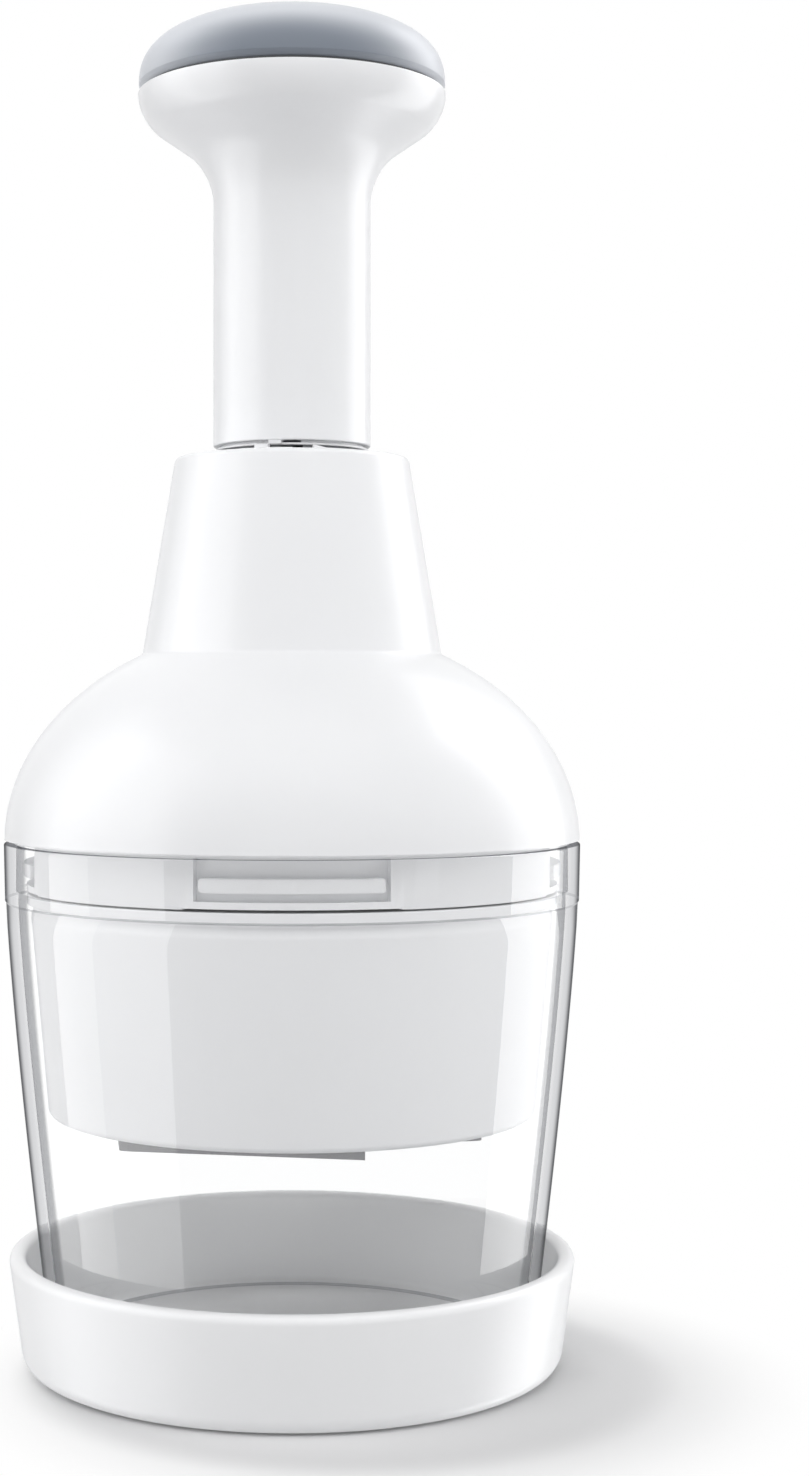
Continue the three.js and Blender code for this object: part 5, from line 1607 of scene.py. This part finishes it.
@dataclass
class FoldedBlade:
    """Blade folded into five legs, riveted into the grooved rail of its carrier."""

    radius: float = 35.1
    thickness: float = 0.6
    edge_share: float = 0.27
    edge_z: float = 40.5
    bevel: float = 2.2
    height: float = 20.4
    bend_radius: float = 1.3
    rail_thickness: float = 3.6
    rail_bottom: float = 57.3
    rail_top: float = 62.3
    groove_depth: float = 3.9
    plate_radius: float = 34.5
    hub_radius: float = 8.5
    hub_top: float = 70.3
    shares: tuple[tuple[float, float], ...] = ((0.335, -0.925), (-0.94, -0.675), (0.98, -0.43))

    def corners(self) -> list[Vector]:
        """Gives the sharp corners of the folds, from one free end to the other."""
        half = [Vector((x, y, 0)) * self.radius for x, y in self.shares]
        return half + [-corner for corner in reversed(half)]

    def sheet(self, levels: Sequence[float], extra: float = 0.0) -> bmesh.types.BMesh:
        """Folds the middle sheet of the strip.

        Args:
            levels: Its heights, from the bottom up.
            extra: How far it is lengthened at both ends.

        Returns:
            The open sheet.
        """
        places = self.corners()
        places[0] += (places[0] - places[1]).normalized() * extra
        places[-1] += (places[-1] - places[-2]).normalized() * extra
        mesh = bmesh.new()
        verts = [mesh.verts.new((*place.xy, levels[0])) for place in places]
        for start, end in zip(verts, verts[1:]):
            mesh.edges.new((start, end))
        for index in range(1, len(places) - 1):
            back, on = places[index - 1] - places[index], places[index + 1] - places[index]
            bmesh.ops.bevel(
                mesh,
                geom=[verts[index]],
                offset=self.bend_radius / math.tan(back.angle(on) / 2),
                offset_type="OFFSET",
                segments=10,
                profile=0.5,
                affect="VERTICES",
                material=-1,
                clamp_overlap=False,
            )
        edges = mesh.edges[:]
        for low, high in zip(levels, levels[1:]):
            made = bmesh.ops.extrude_edge_only(mesh, edges=edges)["geom"]
            raised = [item for item in made if isinstance(item, bmesh.types.BMVert)]
            bmesh.ops.translate(mesh, verts=raised, vec=(0, 0, high - low))
            edges = [item for item in made if isinstance(item, bmesh.types.BMEdge)]
        bmesh.ops.recalc_face_normals(mesh, faces=mesh.faces)
        return mesh

    def thickened(self, mesh: bmesh.types.BMesh, thickness: float, edge_z: float) -> Solid:
        """Gives a sheet its thickness, thinned along its lowest row if that is the cutting edge.

        Args:
            mesh: The open sheet.
            thickness: Its full thickness.
            edge_z: Height of the row that is thinned.

        Returns:
            The strip as a closed solid.
        """
        sheet = Solid(mesh).linked()
        group = sheet.vertex_groups.new(name="full")
        for vert in sheet.data.vertices:
            share = self.edge_share if abs(vert.co.z - edge_z) < 0.01 else 1.0
            group.add([vert.index], share, "REPLACE")
        wall = sheet.modifiers.new("wall", "SOLIDIFY")
        wall.thickness = thickness
        wall.offset = 0
        wall.use_even_offset = True
        wall.vertex_group = "full"
        graph = bpy.context.evaluated_depsgraph_get()
        made = bpy.data.meshes.new_from_object(sheet.evaluated_get(graph))
        solid = bmesh.new()
        solid.from_mesh(made)
        old = sheet.data
        bpy.data.objects.remove(sheet)
        bpy.data.meshes.remove(old)
        bpy.data.meshes.remove(made)
        return Solid(solid).closed()

    def rivets(self) -> list[tuple[Vector, float]]:
        """Gives the places and directions of the four rivets."""
        _, fold, inner = self.corners()[:3]
        way = inner - fold
        places = [fold + way * share for share in (0.3, 0.7)]
        angle = math.atan2(way.y, way.x)
        return [(place, angle) for spot in places for place in (spot, -spot)]

    def rivet(self, radius: float, length: float, spot: Vector, angle: float) -> Solid:
        """Makes a rivet or the cutter of its hole.

        Args:
            radius: Its radius.
            length: Its length across the rail.
            spot: Its place.
            angle: Direction of the leg it goes through.

        Returns:
            The rivet.
        """
        rod = Solid.rod(radius, -length / 2, length / 2, 0.15).turned(math.pi / 2, "X")
        height = self.rail_bottom + self.groove_depth / 2
        return rod.turned(angle).shifted(spot.x, spot.y, height)

    def rivet_holes(self) -> Solid:
        """Makes the cutters of the rivet holes."""
        length = self.rail_thickness + OVERRUN
        return Solid.gathered(self.rivet(1.1, length, *place) for place in self.rivets())

    def rails(self) -> Solid:
        """Makes the straight rails over the legs, ending at the plate's rim."""
        places = self.corners()
        middle_z = (self.rail_bottom + self.rail_top - 0.5) / 2
        height = self.rail_top - 0.5 - self.rail_bottom
        bars = []
        for start, end in zip(places, places[1:]):
            way = end - start
            size = (way.length + self.rail_thickness, self.rail_thickness, height)
            bar = Solid.bar(size, ORIGIN).turned(math.atan2(way.y, way.x))
            middle = (start + end) / 2
            bars.append(bar.shifted(middle.x, middle.y, middle_z))
        whole = bars[0].add(*bars[1:])
        limit = Solid.rod(self.plate_radius - 0.1, self.rail_bottom - 1, self.rail_top, 0.05)
        return whole.worked(limit, Joining.KEEP)

    def carrier(self) -> Solid:
        """Makes the carrier: plate, hub and grooved rails."""
        top, plate_bottom = self.rail_top, self.rail_top - 2
        corners = [
            Corner(0, plate_bottom),
            Corner(self.plate_radius, plate_bottom, 0.3),
            Corner(self.plate_radius, top, 0.8),
            Corner(self.hub_radius, top, 1.0),
            Corner(self.hub_radius, self.hub_top, 1.0),
            Corner(0, self.hub_top),
        ]
        carrier = Solid.lathe(corners, ROUND_STEPS, 5).add(self.rails())
        levels = (self.rail_bottom - OVERRUN, self.rail_bottom + self.groove_depth)
        width = self.thickness + 2 * SEAT_GAP
        groove = self.thickened(self.sheet(levels, self.rail_thickness), width, 0.0)
        bore = Solid.rod(3.3, top, self.hub_top + OVERRUN, 0.05)
        hole = Solid.rod(1.3, -14, 14, 0.05).turned(math.pi / 2, "Y").shifted(0, 0, self.hub_top - 4)
        return carrier.cut(groove, bore, hole, self.rivet_holes())

    def build(self) -> Iterator[bpy.types.Object]:
        """Builds the carrier, the blade and its rivets."""
        yield self.carrier().piece("carrier_plate", Body.BLADE, WHITE, ["blade_carrier"], 0.1)
        levels = (self.edge_z, self.edge_z + self.bevel, self.edge_z + self.height)
        blade = self.thickened(self.sheet(levels), self.thickness, self.edge_z)
        blade.cut(self.rivet_holes())
        yield blade.piece("folded_blade", Body.BLADE, BLADE_STEEL, ["chopping_blade"])
        for index, place in enumerate(self.rivets(), 1):
            rivet = self.rivet(0.8, self.rail_thickness - 2 * SEAT_GAP, *place)
            yield rivet.piece(f"rivet_{index}", Body.BLADE, PLAIN_STEEL, [f"blade_pin_{index}"])


class Reach(Enum):
    """What a lamp lights."""

    SURFACES = "surfaces"
    REFLECTIONS = "reflections"


@dataclass(frozen=True)
class Softbox:
    """A large lamp that points at the middle of the object, with its brightness as seen."""

    name: str
    azimuth: float
    elevation: float
    size: tuple[float, float]
    glow: float
    reach: Reach
    away: float = 0.85

    def place(self) -> Vector:
        """Gives its place, from the azimuth counted from the front towards the right."""
        turn, tilt = math.radians(self.azimuth), math.radians(self.elevation)
        flat = math.cos(tilt)
        return Vector((math.sin(turn) * flat, -math.cos(turn) * flat, math.sin(tilt))) * self.away

    def power(self) -> float:
        """Works out the power that gives its brightness."""
        return self.glow * math.pi * self.size[0] * self.size[1]


@dataclass
class Studio:
    """Camera, floor, world and lamps."""

    distance: float = 0.427
    level: float = 0.1159
    focal_pixels: float = 2450.0
    frame_width: float = 809.0
    frame_height: float = 1476.0
    axis_pixel: float = 292.0
    horizon_pixel: float = 692.0
    sensor: float = 36.0
    ambient: float = 0.07
    # Centres of the floor's painted shadow patch, set off to the right and the front.
    contact_shade_centre: tuple[float, float, float] = (0.009, -0.009, 0.0)
    cast_shade_centre: tuple[float, float, float] = (0.015, -0.012, 0.0)
    lamps: tuple[Softbox, ...] = (
        Softbox("left_fill", -74, 11, (0.8, 0.8), 1.6, Reach.SURFACES),
        Softbox("right_fill", 80, 11, (0.6, 0.8), 2.7, Reach.SURFACES),
        Softbox("key_light", -160, 58, (0.45, 0.45), 2.4, Reach.SURFACES),
        Softbox("top_light", -5, 62, (0.9, 0.7), 2.35, Reach.SURFACES),
        Softbox("low_fill", 0, 13, (0.5, 0.16), 2.8, Reach.SURFACES),
        Softbox("back_fill", 180, 14, (0.8, 0.3), 5.0, Reach.SURFACES),
        Softbox("left_strip", -78, 0, (0.95, 2.4), 2.0, Reach.REFLECTIONS),
        Softbox("left_core", -104, 0, (0.6, 2.4), 1.0, Reach.REFLECTIONS, 0.8),
        Softbox("right_strip", 112, 0, (0.6, 2.4), 2.8, Reach.REFLECTIONS),
        Softbox("shoulder_panel", 125, 42, (0.5, 0.5), 1.6, Reach.REFLECTIONS),
    )

    def camera(self) -> None:
        """Sets the camera level, with the shift that the photograph's framing needs."""
        data = bpy.data.cameras.new("camera")
        data.sensor_width = self.sensor
        data.lens = self.sensor * self.focal_pixels / self.frame_height
        data.shift_x = (self.frame_width / 2 - self.axis_pixel) / self.frame_height
        data.shift_y = (self.horizon_pixel - self.frame_height / 2) / self.frame_height
        data.clip_start = 0.01
        thing = bpy.data.objects.new("camera", data)
        thing.location = (0, -self.distance, self.level)
        thing.rotation_euler = (math.pi / 2, 0, 0)
        bpy.context.scene.collection.objects.link(thing)
        bpy.context.scene.camera = thing

    def lamp(self, box: Softbox) -> None:
        """Hangs one softbox."""
        data = bpy.data.lights.new(box.name, "AREA")
        data.shape = "RECTANGLE"
        data.size, data.size_y = box.size
        data.energy = box.power()
        thing = bpy.data.objects.new(box.name, data)
        thing.location = box.place()
        thing.rotation_euler = box.place().to_track_quat("Z", "Y").to_euler()
        thing.visible_camera = thing.visible_transmission = False
        thing.visible_diffuse = box.reach is Reach.SURFACES
        thing.visible_glossy = box.reach is Reach.REFLECTIONS
        bpy.context.scene.collection.objects.link(thing)

    def world(self) -> None:
        """Makes the world white where it is seen, and softer where it lights the object."""
        world = bpy.data.worlds.new("studio")
        world.use_nodes = True
        bpy.context.scene.world = world
        shader = Shader.on(world.node_tree)
        white = {"Color": (1.0, 1.0, 1.0)}
        light = shader.node("ShaderNodeBackground", None, {**white, "Strength": self.ambient})
        shown = shader.node("ShaderNodeBackground", None, {**white, "Strength": 1.0})
        sockets = {0: shader.seen(), 1: light.outputs[0], 2: shown.outputs[0]}
        sky = shader.node("ShaderNodeMixShader", None, sockets).outputs[0]
        shader.node("ShaderNodeOutputWorld", None, {"Surface": sky})

    def floor_material(self) -> bpy.types.Material:
        """Builds the pale floor: lit matt near the object, with its real shadow and a painted shadow
        patch set off to the right, and plain white further off.
        """
        shader = Shader.named("pale_floor")
        spot = shader.place()
        settings = {"operation": "DISTANCE"}
        lengths = [
            shader.node("ShaderNodeVectorMath", settings, {0: spot, 1: centre}).outputs["Value"]
            for centre in (self.contact_shade_centre, self.cast_shade_centre)
        ]
        # Painted shadow: the floor turns from lit matt to plain white with distance from two off-centre
        # points, so a darker patch lies round the foot and to the right.
        contact_shade = Number(shader, lengths[0]).eased(0.047, 0.058)
        away = Number(shader, lengths[1]).eased(0.03, 0.075)
        grain = shader.noise(spot, 40, 3)
        seen = shader.seen()
        near = shader.mixed(grain, (0.69, 0.69, 0.695), (0.72, 0.72, 0.725))
        sockets = {
            "Base Color": shader.mixed(seen, (0.72, 0.72, 0.725), near),
            "Roughness": 0.9 + grain * 0.1,
            "Specular IOR Level": 0.0,
        }
        matt = shader.node("ShaderNodeBsdfPrincipled", None, sockets).outputs[0]
        glow = shader.node("ShaderNodeEmission", None, {"Color": (1, 1, 1), "Strength": 1.0})
        sockets = {0: contact_shade * away * seen, 1: matt, 2: glow.outputs[0]}
        mix = shader.node("ShaderNodeMixShader", None, sockets)
        return shader.finished(mix.outputs[0])

    def floor(self) -> None:
        """Lays the floor."""
        mesh = bmesh.new()
        bmesh.ops.create_circle(mesh, cap_ends=True, segments=96, radius=6.0)
        bmesh.ops.translate(mesh, verts=mesh.verts, vec=(0, 0, -0.0001))
        data = bpy.data.meshes.new("floor")
        mesh.to_mesh(data)
        mesh.free()
        data.materials.append(self.floor_material())
        thing = bpy.data.objects.new("floor", data)
        bpy.context.scene.collection.objects.link(thing)
        thing.visible_glossy = False
        thing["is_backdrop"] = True

    def build(self) -> None:
        """Sets up the studio."""
        bpy.context.scene.view_settings.view_transform = "Standard"
        self.camera()
        self.world()
        self.floor()
        for box in self.lamps:
            self.lamp(box)


def write_sizes() -> None:
    """Gathers the frame's box and the dressed object's box, without writing them anywhere."""
    boxes = {"frame": FRAME_BOX, "dressed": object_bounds()}
    plain = {name: [list(corner) for corner in box] for name, box in boxes.items()}


def main() -> None:
    """Builds the studio and every sub-assembly, and reports each piece."""
    logging.basicConfig(level=logging.INFO, format="%(message)s")
    Studio().build()
    assemblies = (
        BaseDish(),
        ClearCup(),
        DomedHousing(),
        InnerFrame(),
        GuideTower(),
        PanScrews(),
        ReturnSpring(),
        BladeGuard(),
        Handle(),
        Spindle(),
        FoldedBlade(),
    )
    for assembly in assemblies:
        for piece in assembly.build():
            LOG.info("%s: %s, %d faces", type(assembly).__name__, piece.name, len(piece.data.polygons))
    write_sizes()


if __name__ == "__main__":
    main()
